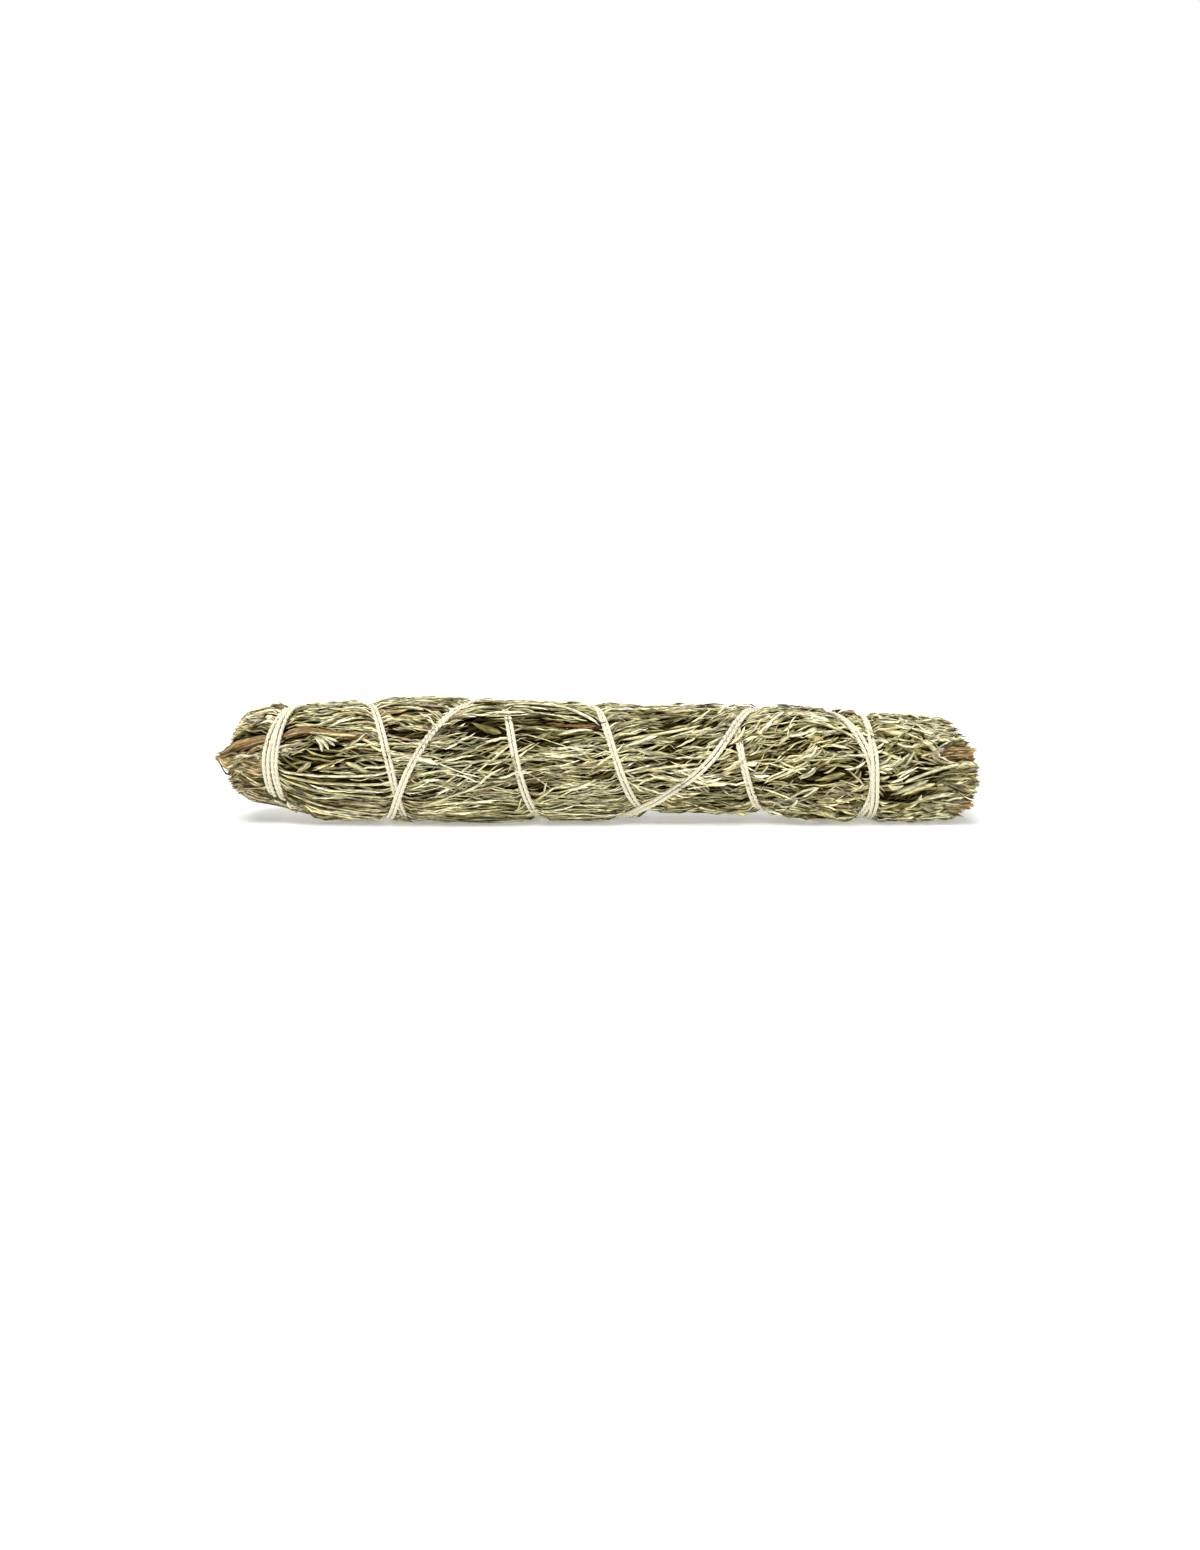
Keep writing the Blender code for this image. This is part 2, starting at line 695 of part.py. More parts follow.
def grow_sprig(sprig, rng, obstacles, stem_lines, surface, collection):
    """A sprig: twigs with room for the woody stems, and all its leaves fused to them."""
    body = make_twigs(sprig, rng, surface, collection)
    cutters = [tube("stem_room", line, [radius + STEM_GAP for radius in radii], surface, collection)
               for line, radii in stem_lines]
    combine(body, cutters, "DIFFERENCE")
    leaves = []
    grown = []
    if sprig.outer:
        step = (sprig.right - sprig.left) / LEAVES_PER_SPRIG
        shift = -ROOT_SHIFT if sprig.heading == 0.0 else ROOT_SHIFT
        for number in range(LEAVES_PER_SPRIG):
            x = sprig.left + (number + 0.5) * step + shift
            row = LEAF_ROWS[number % len(LEAF_ROWS)]
            leaves.append(grow_leaf(sprig, rng, obstacles, grown, x, row, False, surface, collection))
    for number in range(2 * (END_LEAVES if sprig.outer else INNER_END_LEAVES)):
        x = sprig.left + END_INSET if number % 2 else sprig.right - END_INSET
        row = rng.uniform(-END_ROW_LIMIT, END_ROW_LIMIT)
        leaves.append(grow_leaf(sprig, rng, obstacles, grown, x, row, True, surface, collection))
    leaves = [leaf for leaf in leaves if leaf]
    if sprig.name.endswith("sprig_01"):
        leaves += [pressed_leaf(sprig, x, y, length, surface, collection) for x, y, length in PRESSED_LEAVES]
    combine(body, leaves, "UNION")
    clean_mesh(body)


def main():
    for old in list(bpy.data.objects):
        bpy.data.objects.remove(old)
    collection = bpy.data.collections.new("sagebrush_bunch")
    bpy.context.scene.collection.children.link(collection)
    leaf = material("sage_leaf", LEAF_COLOUR, 0.85)
    inner_leaf = material("sage_leaf_inner", INNER_COLOUR, 0.9)
    wood = material("sage_wood", WOOD_COLOUR, 0.8)
    cotton = material("cotton_string", STRING_COLOUR, 0.9)

    path = string_path()
    make_string(path, cotton, collection)

    obstacles = Obstacles()
    under = [place(x, turn, radius - STRING_UNDER) for x, turn, radius in path]
    over = [place(x, turn, radius + STRING_OVER) for x, turn, radius in path]
    obstacles.add(under, [STRING_WIDTH / 2 + GAP] * len(path))
    obstacles.add(over, [STRING_WIDTH / 2] * len(path))
    stem_lines = []
    for name, route in STEMS.items():
        line = [place(x, angle, share * bunch_radius(x)) for x, share, angle, _ in route]
        radii = [radius for _, _, _, radius in route]
        tube(name, line, radii, wood, collection)
        stem_lines.append((line, radii))
        obstacles.add(line, [radius + STEM_GAP for radius in radii])

    rng = random.Random(SEED)
    for sprig in sprig_plan(rng):
        grow_sprig(sprig, rng, obstacles, stem_lines, leaf if sprig.outer else inner_leaf, collection)


main()
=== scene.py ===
"""Looks of a tied bunch of dried sagebrush, lying on its side on a pale floor.

X runs along the bunch, +Z is up and the front faces -Y. Lengths are in
millimetres until a mesh is made, and angles go round the bunch's middle line:
0 is the back, 90 the top, 180 the front and 270 the bottom.
"""

import math

import bpy
import numpy as np
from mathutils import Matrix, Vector


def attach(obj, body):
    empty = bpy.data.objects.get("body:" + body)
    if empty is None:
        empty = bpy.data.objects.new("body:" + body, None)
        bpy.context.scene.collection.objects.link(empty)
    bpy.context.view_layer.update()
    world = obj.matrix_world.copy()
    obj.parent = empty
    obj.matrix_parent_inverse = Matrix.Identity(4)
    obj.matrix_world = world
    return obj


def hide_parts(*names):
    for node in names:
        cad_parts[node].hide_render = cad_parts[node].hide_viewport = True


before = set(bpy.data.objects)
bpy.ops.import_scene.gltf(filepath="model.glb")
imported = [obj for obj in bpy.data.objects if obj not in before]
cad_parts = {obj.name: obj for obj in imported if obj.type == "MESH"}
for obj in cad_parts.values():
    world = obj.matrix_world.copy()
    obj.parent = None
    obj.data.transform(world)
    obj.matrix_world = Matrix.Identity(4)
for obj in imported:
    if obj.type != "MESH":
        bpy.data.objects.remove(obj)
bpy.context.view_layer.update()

MM = 0.001
SEED = 23

# Outline of the bunch: place along it, radius over its leaves, height of its middle line
OUTLINE = [
    (-112.5, 2.0, 19.1),
    (-109.0, 6.4, 17.4),
    (-102.0, 12.6, 19.0),
    (-95.0, 14.5, 19.4),
    (-88.0, 15.9, 18.5),
    (-80.0, 16.7, 17.6),
    (-64.0, 17.4, 17.6),
    (-49.0, 17.8, 17.6),
    (-35.0, 17.8, 17.6),
    (-17.0, 17.2, 17.4),
    (3.0, 16.8, 17.2),
    (14.0, 15.4, 18.0),
    (32.0, 15.4, 18.0),
    (50.0, 15.4, 18.0),
    (62.0, 16.2, 16.7),
    (74.0, 15.8, 16.0),
    (86.0, 15.4, 15.4),
    (102.0, 14.2, 14.9),
    (112.5, 12.6, 14.5),
]
OUTLINE_X, OUTLINE_RADIUS, OUTLINE_HEIGHT = (np.array(column) for column in zip(*OUTLINE))
MEAN_RADIUS = 16.5
GIRTH = 110.0

# String: the doubled cord and the places where each turn passes the top, the front and the
# bottom of the bunch, in the order in which it is wound
STRING_DEPTH = 1.0
STRING_WIDTH = 2.4
STRING_TURNS = [
    (-90.4, -95.4, -91.6),
    (-66.7, -59.4, -54.5),
    (-28.3, -22.9, -15.6),
    (-0.9, 6.1, 15.5),
    (37.9, 41.9, 49.0),
    (69.3, 79.0, 75.2),
    (77.4, 79.5, 78.6),
    (46.3, 30.6, 1.5),
    (-36.7, -54.0, -63.2),
    (-87.9, -92.9, -89.1),
]
STRING_START = [(-125.0, -85.6), (-90.0, -86.4), (0.0, -90.5)]
STRING_END_DEG = 235.0 + 360.0 * (len(STRING_TURNS) - 1)
STRING_CLEAR = 0.95
CROSSING_LIFT = 1.2
CROSSING_REACH = 2.42
CROSSING_RAMP = 1.2
CROSSING_WIDTH = 1.4 * STRING_WIDTH
CROSSING_RAMP_DEG = 24.0
PATH_STEP_DEG = 2.0
# Stretches of string that leaves lie over: turn number, from and to angle
COVERED = [(2, 80, 142), (4, 80, 160)]

# Ends, as (left, right): how far the tips draw back at the bunch's sides, how far they scatter,
# the radius over the outermost leaves with its spread, and the leaves' gain in width
SIDE_TAPER = (4.0, 1.0)
TIP_SCATTER = (2.2, 3.0)
END_RADIUS = (13.2, 14.2)
END_SPREAD = ((0.92, 1.03), (0.95, 1.08))
END_WIDEN = (0.9, 1.1)
END_ROOTS = (6.0, 13.0)
# Painted light and shade of the ends' leaves by their share of the radius, and the painted light that deep
# tips keep
END_LIGHT = ((0.2, 0.6, 0.78, 0.88, 0.97), (0.15, 0.25, 0.35, 0.8, 1.2))
TIP_LIGHT = 0.8
TIP_GAIN_LIMIT = 5.0
TIP_GAIN_POWER = 3
# Height over the middle line, and how far leaves reach along the bunch there, seen from the front
LEFT_REACH = [(-14.0, -98.0), (-11.5, -102.0), (-9.0, -105.5), (-5.5, -109.5), (-3.4, -105.5),
              (-1.0, -110.0), (2.0, -111.5), (5.0, -108.5), (8.0, -107.5), (11.0, -105.0), (14.0, -101.0)]
RIGHT_REACH = [(-13.6, 105.5), (-11.0, 108.0), (-6.6, 110.5), (0.0, 112.0), (6.9, 109.5), (9.0, 107.5),
               (11.3, 105.5), (14.0, 103.0)]

# Angle at which the pointed tip of the left end shows, and where the fibres that fan from it stop
TIP_DEG = 166.0
TIP_FAN_END = 225.0

# Sprigs: their number, half of the sector that each fills, and the core of packed twigs, coloured dark as
# painted shade
OUTER_SPRIGS = 9
OUTER_HALF_DEG = 20.0
INNER_SPRIGS = 3
INNER_HALF_DEG = 60.0
SPRIG_ENDS = (-101.0, 100.0)
INNER_ENDS = (-98.0, 99.0)
CORE_DEPTH = 4.4
INNER_SHARE = 0.5
MIDDLE_SHARE = 0.05
CORE_STATIONS = 64
CORE_ACROSS = 9
# Ripples of the core: depth, turns round the bunch and along it, and soft bumps with their size
RIPPLE = 0.45
RIPPLE_ROUND = 31
RIPPLE_TWIST = 0.25
BUMPS = 0.35
BUMP_WAVE = 9.0
# Leaves at each end of a sprig, and the shares of the bunch's radius that they lie between
OUTER_END_LEAVES = 190
OUTER_END_SHARES = (0.5, 0.99)
INNER_END_LEAVES = 130
INNER_END_SHARES = (0.02, 0.52)
# Long twigs among the leaves: number and levels of the deep ones and of the upper ones
DEEP_TWIGS = (16, (-3.0, -1.6))
UPPER_TWIGS = (18, (-1.0, 0.0))

# Directions in which the leaves run, read from the photo: place along the bunch, angle
# round it, and slope in degrees, where a positive slope rises towards +X
FLOW = [
    (-102, 112, 14), (-104, 140, 18), (-106, 195, -24), (-100, 215, -30),
    (-86, 112, 16), (-78, 130, 14), (-84, 150, 10), (-76, 165, 6), (-72, 182, 1), (-84, 196, -10),
    (-76, 212, -16), (-88, 220, -26), (-66, 230, -12),
    (-60, 105, -6), (-54, 120, -16), (-56, 150, 10), (-54, 172, 8), (-50, 200, 8), (-58, 215, 4),
    (-42, 155, 24), (-36, 120, 18), (-40, 175, 10), (-34, 190, 4), (-40, 205, 12),
    (-20, 100, 4), (-8, 112, -12), (-16, 150, 9), (-8, 170, 5), (-12, 190, 8), (-4, 215, -3),
    (13, 115, -8), (22, 135, 12), (18, 158, 5), (28, 160, 34), (24, 195, -14), (14, 205, -20), (28, 215, 4),
    (34, 120, 44), (38, 145, 46), (50, 130, 34), (50, 108, 26), (60, 95, 4), (70, 105, -18), (76, 118, -28),
    (60, 140, 22), (74, 145, 22), (62, 170, 18), (74, 176, 20), (52, 185, 12), (64, 205, 5), (76, 220, 5),
    (88, 110, -5), (100, 115, -7), (90, 155, 16), (98, 165, -4), (92, 185, 32), (102, 190, 12),
    (90, 212, 14), (104, 215, 6), (98, 232, 12),
]
FLOW_REACH = (9.0, 22.0)
FLOW_NOISE_DEG = 20.0
FLOW_PULL = 0.35
FLOW_WAVE = 42.0

# Leaves by their place along the bunch: length, width, and how far they turn and bend, in degrees
LEAF_PLACES = (-100.0, -60.0, -15.0, 35.0, 60.0, 82.0, 105.0)
LEAF_LENGTHS = (7.5, 8.5, 10.5, 7.5, 6.5, 6.2, 7.0)
LEAF_WIDTHS = (0.8, 0.76, 0.68, 0.72, 0.82, 0.9, 1.15)
LEAF_TURNS = (12.0, 13.0, 11.0, 15.0, 17.0, 19.0, 17.0)
LEAF_BENDS = (16.0, 20.0, 18.0, 26.0, 30.0, 30.0, 26.0)
# Share of the leaves that are broad, their gain in width, and the gain in length of the long ones
BROAD_SHARE = 0.12
BROAD_GAIN = 1.8
LONG_GAIN = 1.5
# Tufts: share that points towards +X by place, random spread of the slope and tone of a tuft and
# of its leaves' roots, along, round and outwards, and random ranges of the leaves' measures
FORWARD_SHARE = ((-95, -70, 20), (0.1, 0.55, 0.85))
TUFT_LEAVES = 5
TUFT_SLOPE_DEG = 7
TUFT_TONE = 0.1
ROOT_SPREAD = (1.8, 0.07, 0.3)
FAN_BACK_DEG = 6
LENGTH_RANGE = (0.65, 1.35)
LIFT_RANGE = (-0.1, 0.7)
WIDTH_RANGE = (0.5, 1.5)
THICK_RANGE = (0.3, 0.6)
FOLD_DEG = (-50, -5)
ROLL_DEG = 34
TWIST_DEG = 55
WAVE_RANGE = (0.02, 0.2)
# Low down, left of the middle, leaves lie straighter and are longer and narrower
LOWER_STRAIGHTER = 0.4
LOWER_LONGER = 0.35
LOWER_NARROWER = 0.15
# Random ranges of the leaves at the ends, of the fibres at the left tip, and of the long twigs
END_HEADING_DEG = 15
END_BEND_DEG = 18
END_LIFT = (0.1, 0.5)
END_WIDTH = (0.6, 1.7)
END_THICK = (0.3, 0.5)
END_ROLL_DEG = 40
END_TWIST_DEG = 30
END_WAVE = (0.05, 0.35)
FIBRE_START = (-112.0, -108.0)
FIBRE_LENGTH = (9, 17)
FIBRE_WIDTH = (0.6, 1.5)
FIBRE_THICK = (0.4, 0.7)
FIBRE_FOLD_DEG = (-50, 0)
FIBRE_ROLL_DEG = 25
FIBRE_LIGHT = (0.7, 1.3)
TWIG_LENGTH = (22, 55)
TWIG_END = 104
TWIG_SLOPE = 0.7
TWIG_WIDTH = (0.5, 1.15)
TWIG_THICK = (0.7, 1.0)
TWIG_WAVE = (0.05, 0.25)
# Soft noise: its number of waves, and the divisor that keeps their sum near -1 to 1
NOISE_WAVES = 7
NOISE_SIZE = 2.6


def srgb(red, green, blue):
    """Linear colour from sRGB values of 0 to 255."""
    return tuple(((value / 255 + 0.055) / 1.055) ** 2.4 for value in (red, green, blue))


GREY_GREEN = srgb(198, 193, 152)
KHAKI = srgb(202, 191, 141)
STRAW = srgb(220, 211, 171)
OLIVE = srgb(164, 155, 107)
SAGE = srgb(178, 175, 141)
PURPLE_BROWN = srgb(146, 132, 110)
BROWN = srgb(152, 134, 102)
RUST = srgb(138, 104, 68)
# Painted shade: the core of packed twigs is coloured near black for the shade deep inside the bunch
DARK_CORE = srgb(46, 36, 12)
WOOD = srgb(196, 164, 110)
WOOD_LIGHT = srgb(220, 194, 146)
# Painted shade: the stem's tube under its bark strips is drawn darker, for the shade in the grooves between
# the strips
SHADED_WOOD = srgb(158, 126, 80)
CUT_WOOD = srgb(210, 188, 144)

LEAF_COLOURS = np.array([GREY_GREEN, KHAKI, STRAW, OLIVE, SAGE, PURPLE_BROWN, BROWN])
LEAF_SHARES = np.array([0.34, 0.25, 0.13, 0.11, 0.09, 0.04, 0.04])
STRAW_KIND, SAGE_KIND, PURPLE_KIND, BROWN_KIND = 2, 4, 5, 6
LEAF_LIGHT = (1.1, 0.31)
LEAF_LIGHT_LIMITS = (0.35, 1.42)
# Leaves turn brown from here to the left, over this length, and vary in patches of this size
BROWN_FROM = -86
BROWN_RAMP = 14
PATCH_WAVE = 26.0
TWIG_COLOURS = [(STRAW, 0.3), (KHAKI, 0.35), (BROWN, 0.1), (OLIVE, 0.25)]
FIBRE_COLOURS = [(BROWN, 0.35), (WOOD, 0.35), (KHAKI, 0.15), (WOOD_LIGHT, 0.15)]
BARK_COLOURS = [(WOOD, 0.4), (WOOD_LIGHT, 0.3), (BROWN, 0.18), (RUST, 0.12)]
COTTON = srgb(240, 233, 210)
COTTON_DARK = srgb(196, 184, 150)

# Painted shade and light in a leaf's colour: lighter from its root to its tip, dark at its edges, where it
# curls under, and on its underside, warmer where it is dark, and darker the deeper it lies: level, light
ROOT_SHADE = 0.85
TIP_SHADE = 1.1
EDGE_SHADE = 0.94
EDGE_POWER = 3.0
UNDER_SHADE = 0.25
WARM_SHADE = np.array([1.12, 1.2, 1.65])
DEPTH_SHADE = ((-3.4, -2.6, -1.8, -1.2, -0.7, 0.1), (0.02, 0.04, 0.09, 0.22, 0.95, 1.35))

# Twigs and leaves placed one by one as the photo shows them: form, colour, width, level, points
LAID = [
    ("twig", STRAW, 0.95, 0.15, [(-50.8, 219.6), (-43.5, 208), (-35.2, 196.6), (-31.7, 186.5), (-26.7, 177)]),
    ("twig", KHAKI, 0.9, 0.2, [(-24.4, 227), (-19.4, 216), (-15, 204), (-12.3, 197), (-8.2, 197)]),
    ("twig", KHAKI, 0.7, 0.2, [(-15.6, 206), (-15.2, 198), (-14.7, 192)]),
    ("twig", KHAKI, 0.7, 0.25, [(-22.9, 223.9), (-22.6, 217), (-22.0, 211.2)]),
    ("twig", STRAW, 1.1, 0.2, [(-27.3, 107), (-20, 100), (-11.2, 105), (-5.3, 117), (0.6, 132)]),
    ("twig", KHAKI, 0.9, 0.0, [(-83, 143), (-77, 145), (-69, 147)]),
    ("strip", RUST, 0.9, -0.5, [(-14.7, 130), (-6.8, 132), (0.6, 132)]),
    ("strip", RUST, 0.7, -0.4, [(-13.0, 133), (-6.0, 134), (-1.0, 135.5)]),
    ("strip", WOOD, 1.3, -0.2, [(-64, 118), (-59, 115.5), (-55, 114)]),
    ("strip", BROWN, 0.9, -0.1, [(-63.5, 122), (-59, 119), (-56, 117)]),
    ("strip", KHAKI, 1.1, 0.0, [(6.5, 150), (18, 143), (30, 132)]),
    ("leaf", OLIVE, 2.6, -0.9, [(-36.5, 131), (-32, 138), (-27.5, 143)]),
    ("leaf", KHAKI, 1.9, -0.4, [(-86.5, 187), (-84.3, 181), (-82, 174)]),
    ("leaf", GREY_GREEN, 1.3, 0.0, [(-81.5, 147), (-79.5, 154), (-78.8, 163)]),
    ("leaf", GREY_GREEN, 1.2, 0.1, [(-81.0, 146.5), (-78.5, 153), (-76.9, 161)]),
    ("leaf", SAGE, 1.1, 0.0, [(-80.6, 146), (-77.5, 151), (-75.2, 157)]),
    ("leaf", GREY_GREEN, 1.0, 0.1, [(-80.2, 145.5), (-77, 149), (-74.3, 153)]),
    ("twig", STRAW, 0.9, 0.05, [(-92, 188), (-80, 187), (-66, 186), (-56, 180)]),
    ("twig", KHAKI, 1.0, 0.0, [(-91, 192), (-80, 194), (-66, 195), (-57, 192)]),
    ("twig", KHAKI, 0.9, 0.1, [(-90, 197), (-78, 204), (-64, 208), (-54, 209)]),
    ("twig", STRAW, 0.8, 0.1, [(-88, 214), (-76, 225), (-62, 236), (-52, 247)]),
    ("leaf", OLIVE, 2.0, -0.6, [(62, 190), (67, 185), (71, 180)]),
    ("leaf", GREY_GREEN, 2.2, -0.3, [(84, 203), (90, 194), (95, 184)]),
    ("leaf", KHAKI, 1.8, -0.1, [(87, 203), (92, 195), (97, 188)]),
    ("leaf", GREY_GREEN, 1.9, -0.1, [(90, 214), (96, 206), (103, 200)]),
    ("twig", GREY_GREEN, 1.1, 0.3, [(88, 186), (96, 174), (104, 164)]),
    ("strip", KHAKI, 0.9, 0.0, [(8, 186), (20, 180), (31, 176)]),
    ("twig", KHAKI, 0.9, 0.2, [(58, 122), (66, 128), (74, 141), (77, 152)]),
]
LAID_STATIONS = 24

# Painted shade over hollows in the bunch, where the leaves' colour is darker: place, angle, reach along and
# round, light kept
HOLLOWS = [
    (18, 122, 11, 9, 0.55), (28, 112, 8, 7, 0.75), (-13, 128, 9, 7, 0.6), (-88, 139, 6, 4, 0.45),
    (-78, 168, 6, 5, 0.5), (-72, 178, 6, 4, 0.45), (-92, 212, 9, 14, 0.7), (-70, 222, 14, 9, 0.75),
    (-101, 135, 6, 6, 0.6), (-58, 134, 6, 6, 0.7), (-30, 108, 7, 6, 0.7), (64, 196, 12, 7, 0.9),
    (90, 158, 8, 5, 0.6), (96, 186, 6, 5, 0.7), (84, 196, 5, 8, 0.8), (22, 226, 12, 6, 0.7),
]

# Woody stems: (x, share of the bunch's radius, angle, radius of the stem) along each
STEMS = {
    "woody_stem_left": [(-112.2, 0.2, 155, 0.6), (-109, 0.55, 152, 1.7), (-105, 0.7, 150, 1.9),
                        (-99, 0.76, 150, 1.6), (-92, 0.78, 146, 1.2), (-84, 0.92, 139, 1.0),
                        (-75, 0.95, 144, 0.9), (-66, 0.95, 147, 0.8)],
    "woody_stem_right_upper": [(109.3, 0.84, 148, 2.2), (102, 0.8, 148, 2.1), (94, 0.72, 149, 1.8),
                               (84, 0.66, 150, 1.5)],
    "woody_stem_right_lower": [(109.3, 0.9, 224, 1.7), (102, 0.84, 224, 1.7), (94, 0.76, 224, 1.5),
                               (84, 0.7, 224, 1.3)],
    "woody_stem_inner_1": [(109.0, 0.3, 90, 1.5), (98, 0.3, 90, 1.5), (84, 0.28, 90, 1.3)],
    "woody_stem_inner_2": [(107.5, 0.3, 210, 1.5), (98, 0.3, 210, 1.5), (84, 0.28, 210, 1.3)],
    "woody_stem_inner_3": [(-106.0, 0.3, 330, 1.5), (-98, 0.3, 330, 1.5), (-84, 0.28, 330, 1.3)],
}
# Stretches of them that no leaf covers: stem, from and to place
SHOWN_STEMS = [("woody_stem_left", -112.0, -97.0), ("woody_stem_left", -90.0, -83.0),
               ("woody_stem_right_upper", 103.0, 112.0), ("woody_stem_right_lower", 105.0, 112.0)]
STEM_STATIONS = 60
STEM_SIDES = 18
STEM_SETBACK = 3
BARK_SHARE = 0.86
BARK_STRIPS = 84
STRIP_STATIONS = 12
STRIP_NEAR_END = 0.4
STRIP_WIDTH = (0.3, 0.85)
STRIP_THICK = (0.25, 0.5)
STRIP_FOLD = -0.3
STRIP_LIGHT = (0.8, 1.4)
# Grain of a tube: how often it repeats round the tube, and the number that picks its pattern
GRAIN_ROUND = 3
GRAIN_NUMBER = 7.0
# Ridges of the bark: height, number round the stem, and turn for each millimetre along it
BARK_RIDGES = [(0.06, 5, 0.0), (0.05, 9, 0.3), (0.05, 2, 1.3)]

# The cord's two strands of three plies each, its knot with two frayed tails, and its loose hairs
PLIES = 3
PLY_SIDES = 6
PLY_RADIUS = 0.29
PLY_OFFSET = 0.30
PLY_TURN = 5.2
STRAND_OFFSET = 0.6
STRING_STEP = 0.62
# Waves of the strands along the string, as depth and length: two of their tilt, one of their distance
TILT_WAVES = ((0.3, 17.0), (0.2, 5.3))
AWAY_WAVE = (0.06, 9.0)
KNOT_SIZE = 1.5
KNOT_OUT = 0.5
KNOT_CORD = 0.5
KNOT_STATIONS = 60
KNOT_TAILS = ((7.0, -0.4, -0.6), (4.5, -1.6, 0.9))
TAIL_FIBRES = 14
TAIL_RADII = (0.16, 0.05)
TAIL_SPREAD = (1.2, 0.8, 0.8)
TAIL_SCATTER = 0.55
TAIL_BOW = 0.9
TAIL_CURL = 0.3
TAIL_LOWEST = 0.3
FUZZ_HAIRS = 260
HAIR_RADII = (0.045, 0.02)
HAIR_LENGTH = (0.8, 2.2)
HAIR_BOW = 0.4
HAIR_LOWEST = 0.1

# Camera: as the photo was taken, level with the bunch and a little above it
CAMERA_DISTANCE = 0.65
CAMERA_ELEVATION_DEG = 9.0
CAMERA_TARGET = (0.0006, 0.0, 0.0133)
SENSOR_WIDTH = 36.0
PHOTO_SIZE = (1200, 1550)
MM_PER_PIXEL = 0.2937

# Light and floor: suns as name, direction that they shine from, strength and spread in degrees
SUNS = [("key", (-0.2, -0.5, 1.0), 3.3, 36.0), ("rim", (0.3, 0.6, 1.0), 0.9, 60.0)]
SKY_HEIGHTS = (0.34, 0.4)
SKY_LIGHTS = (1.0, 0.1)
FLOOR_SIZE = 8.0
FLOOR_COLOUR = (0.8, 0.81, 0.79, 1)
FLOOR_GLOW = 0.3


def bunch_radius(x):
    return np.interp(x, OUTLINE_X, OUTLINE_RADIUS)


def bunch_height(x):
    return np.interp(x, OUTLINE_X, OUTLINE_HEIGHT)


def place(x, angle, radius):
    """Points at x, turned by angle in radians round the middle line, as one array."""
    x, angle, radius = np.broadcast_arrays(x, angle, radius)
    return np.stack([x, radius * np.cos(angle), bunch_height(x) + radius * np.sin(angle)], axis=-1)


def unplace(points):
    """Angle in radians and radius of points round the middle line."""
    rise = points[..., 2] - bunch_height(points[..., 0])
    return np.arctan2(rise, points[..., 1]), np.hypot(points[..., 1], rise)


def unit(vectors):
    return vectors / np.maximum(np.linalg.norm(vectors, axis=-1, keepdims=True), 1e-9)


def turned(side, up, turn):
    """Directions at an angle in radians from side towards up."""
    return side * np.cos(turn)[..., None] + up * np.sin(turn)[..., None]


def line_axes(line):
    """Directions sideways over the bunch's surface and out of it, at each point of a line."""
    along = unit(np.gradient(line, axis=-2))
    angle, _ = unplace(line)
    out = np.stack([0 * angle, np.cos(angle), np.sin(angle)], axis=-1)
    side = unit(np.cross(along, out))
    return side, np.cross(side, along)


def travel_along(line):
    """How far along a line of points each of them is."""
    return np.concatenate([[0], np.cumsum(np.linalg.norm(np.diff(line, axis=0), axis=1))])


def ease(share):
    """A smooth rise from 0 to 1."""
    return share * share * (3 - 2 * share)


def hermite(knots, values, where):
    """Smooth curve through values at knots, read at all of where."""
    slopes = np.gradient(values, knots)
    spot = np.clip(np.searchsorted(knots, where) - 1, 0, len(knots) - 2)
    span = knots[spot + 1] - knots[spot]
    t = (where - knots[spot]) / span
    start = values[spot] * (1 + 2 * t) * (1 - t) ** 2 + slopes[spot] * span * t * (1 - t) ** 2
    end = values[spot + 1] * t * t * (3 - 2 * t) + slopes[spot + 1] * span * t * t * (t - 1)
    return start + end


def string_place(turn):
    """Place along the bunch of the string at a turn angle in degrees."""
    knots = [angle for angle, _ in STRING_START]
    places = [spot for _, spot in STRING_START]
    for number, spots in enumerate(STRING_TURNS):
        knots += [360.0 * number + quarter for quarter in (90, 180, 270)]
        places += spots
    return hermite(np.array(knots), np.array(places), turn)


def string_path():
    """Middle line of the wound string: turn angles in degrees, places, and lifts where it crosses itself."""
    turns = np.arange(STRING_START[0][0], STRING_END_DEG, PATH_STEP_DEG)
    places = string_place(turns)
    lift = np.zeros(len(turns))
    for back in range(1, len(STRING_TURNS) + 1):
        later = turns >= turns[0] + 360.0 * back
        gap = places[later] - string_place(turns[later] - 360.0 * back)
        share = np.clip((CROSSING_REACH - np.abs(gap)) / CROSSING_RAMP, 0, 1)
        lift[later] = np.maximum(lift[later], CROSSING_LIFT * ease(share))
        for spot in np.nonzero(gap[:-1] * gap[1:] < 0)[0]:
            overlap = CROSSING_WIDTH * PATH_STEP_DEG / abs(gap[spot + 1] - gap[spot])
            share = 1 - (np.abs(turns - turns[later][spot]) - overlap) / CROSSING_RAMP_DEG
            lift = np.maximum(lift, CROSSING_LIFT * ease(np.clip(share, 0, 1)))
    return turns, places, lift


STRING_PATH = string_path()


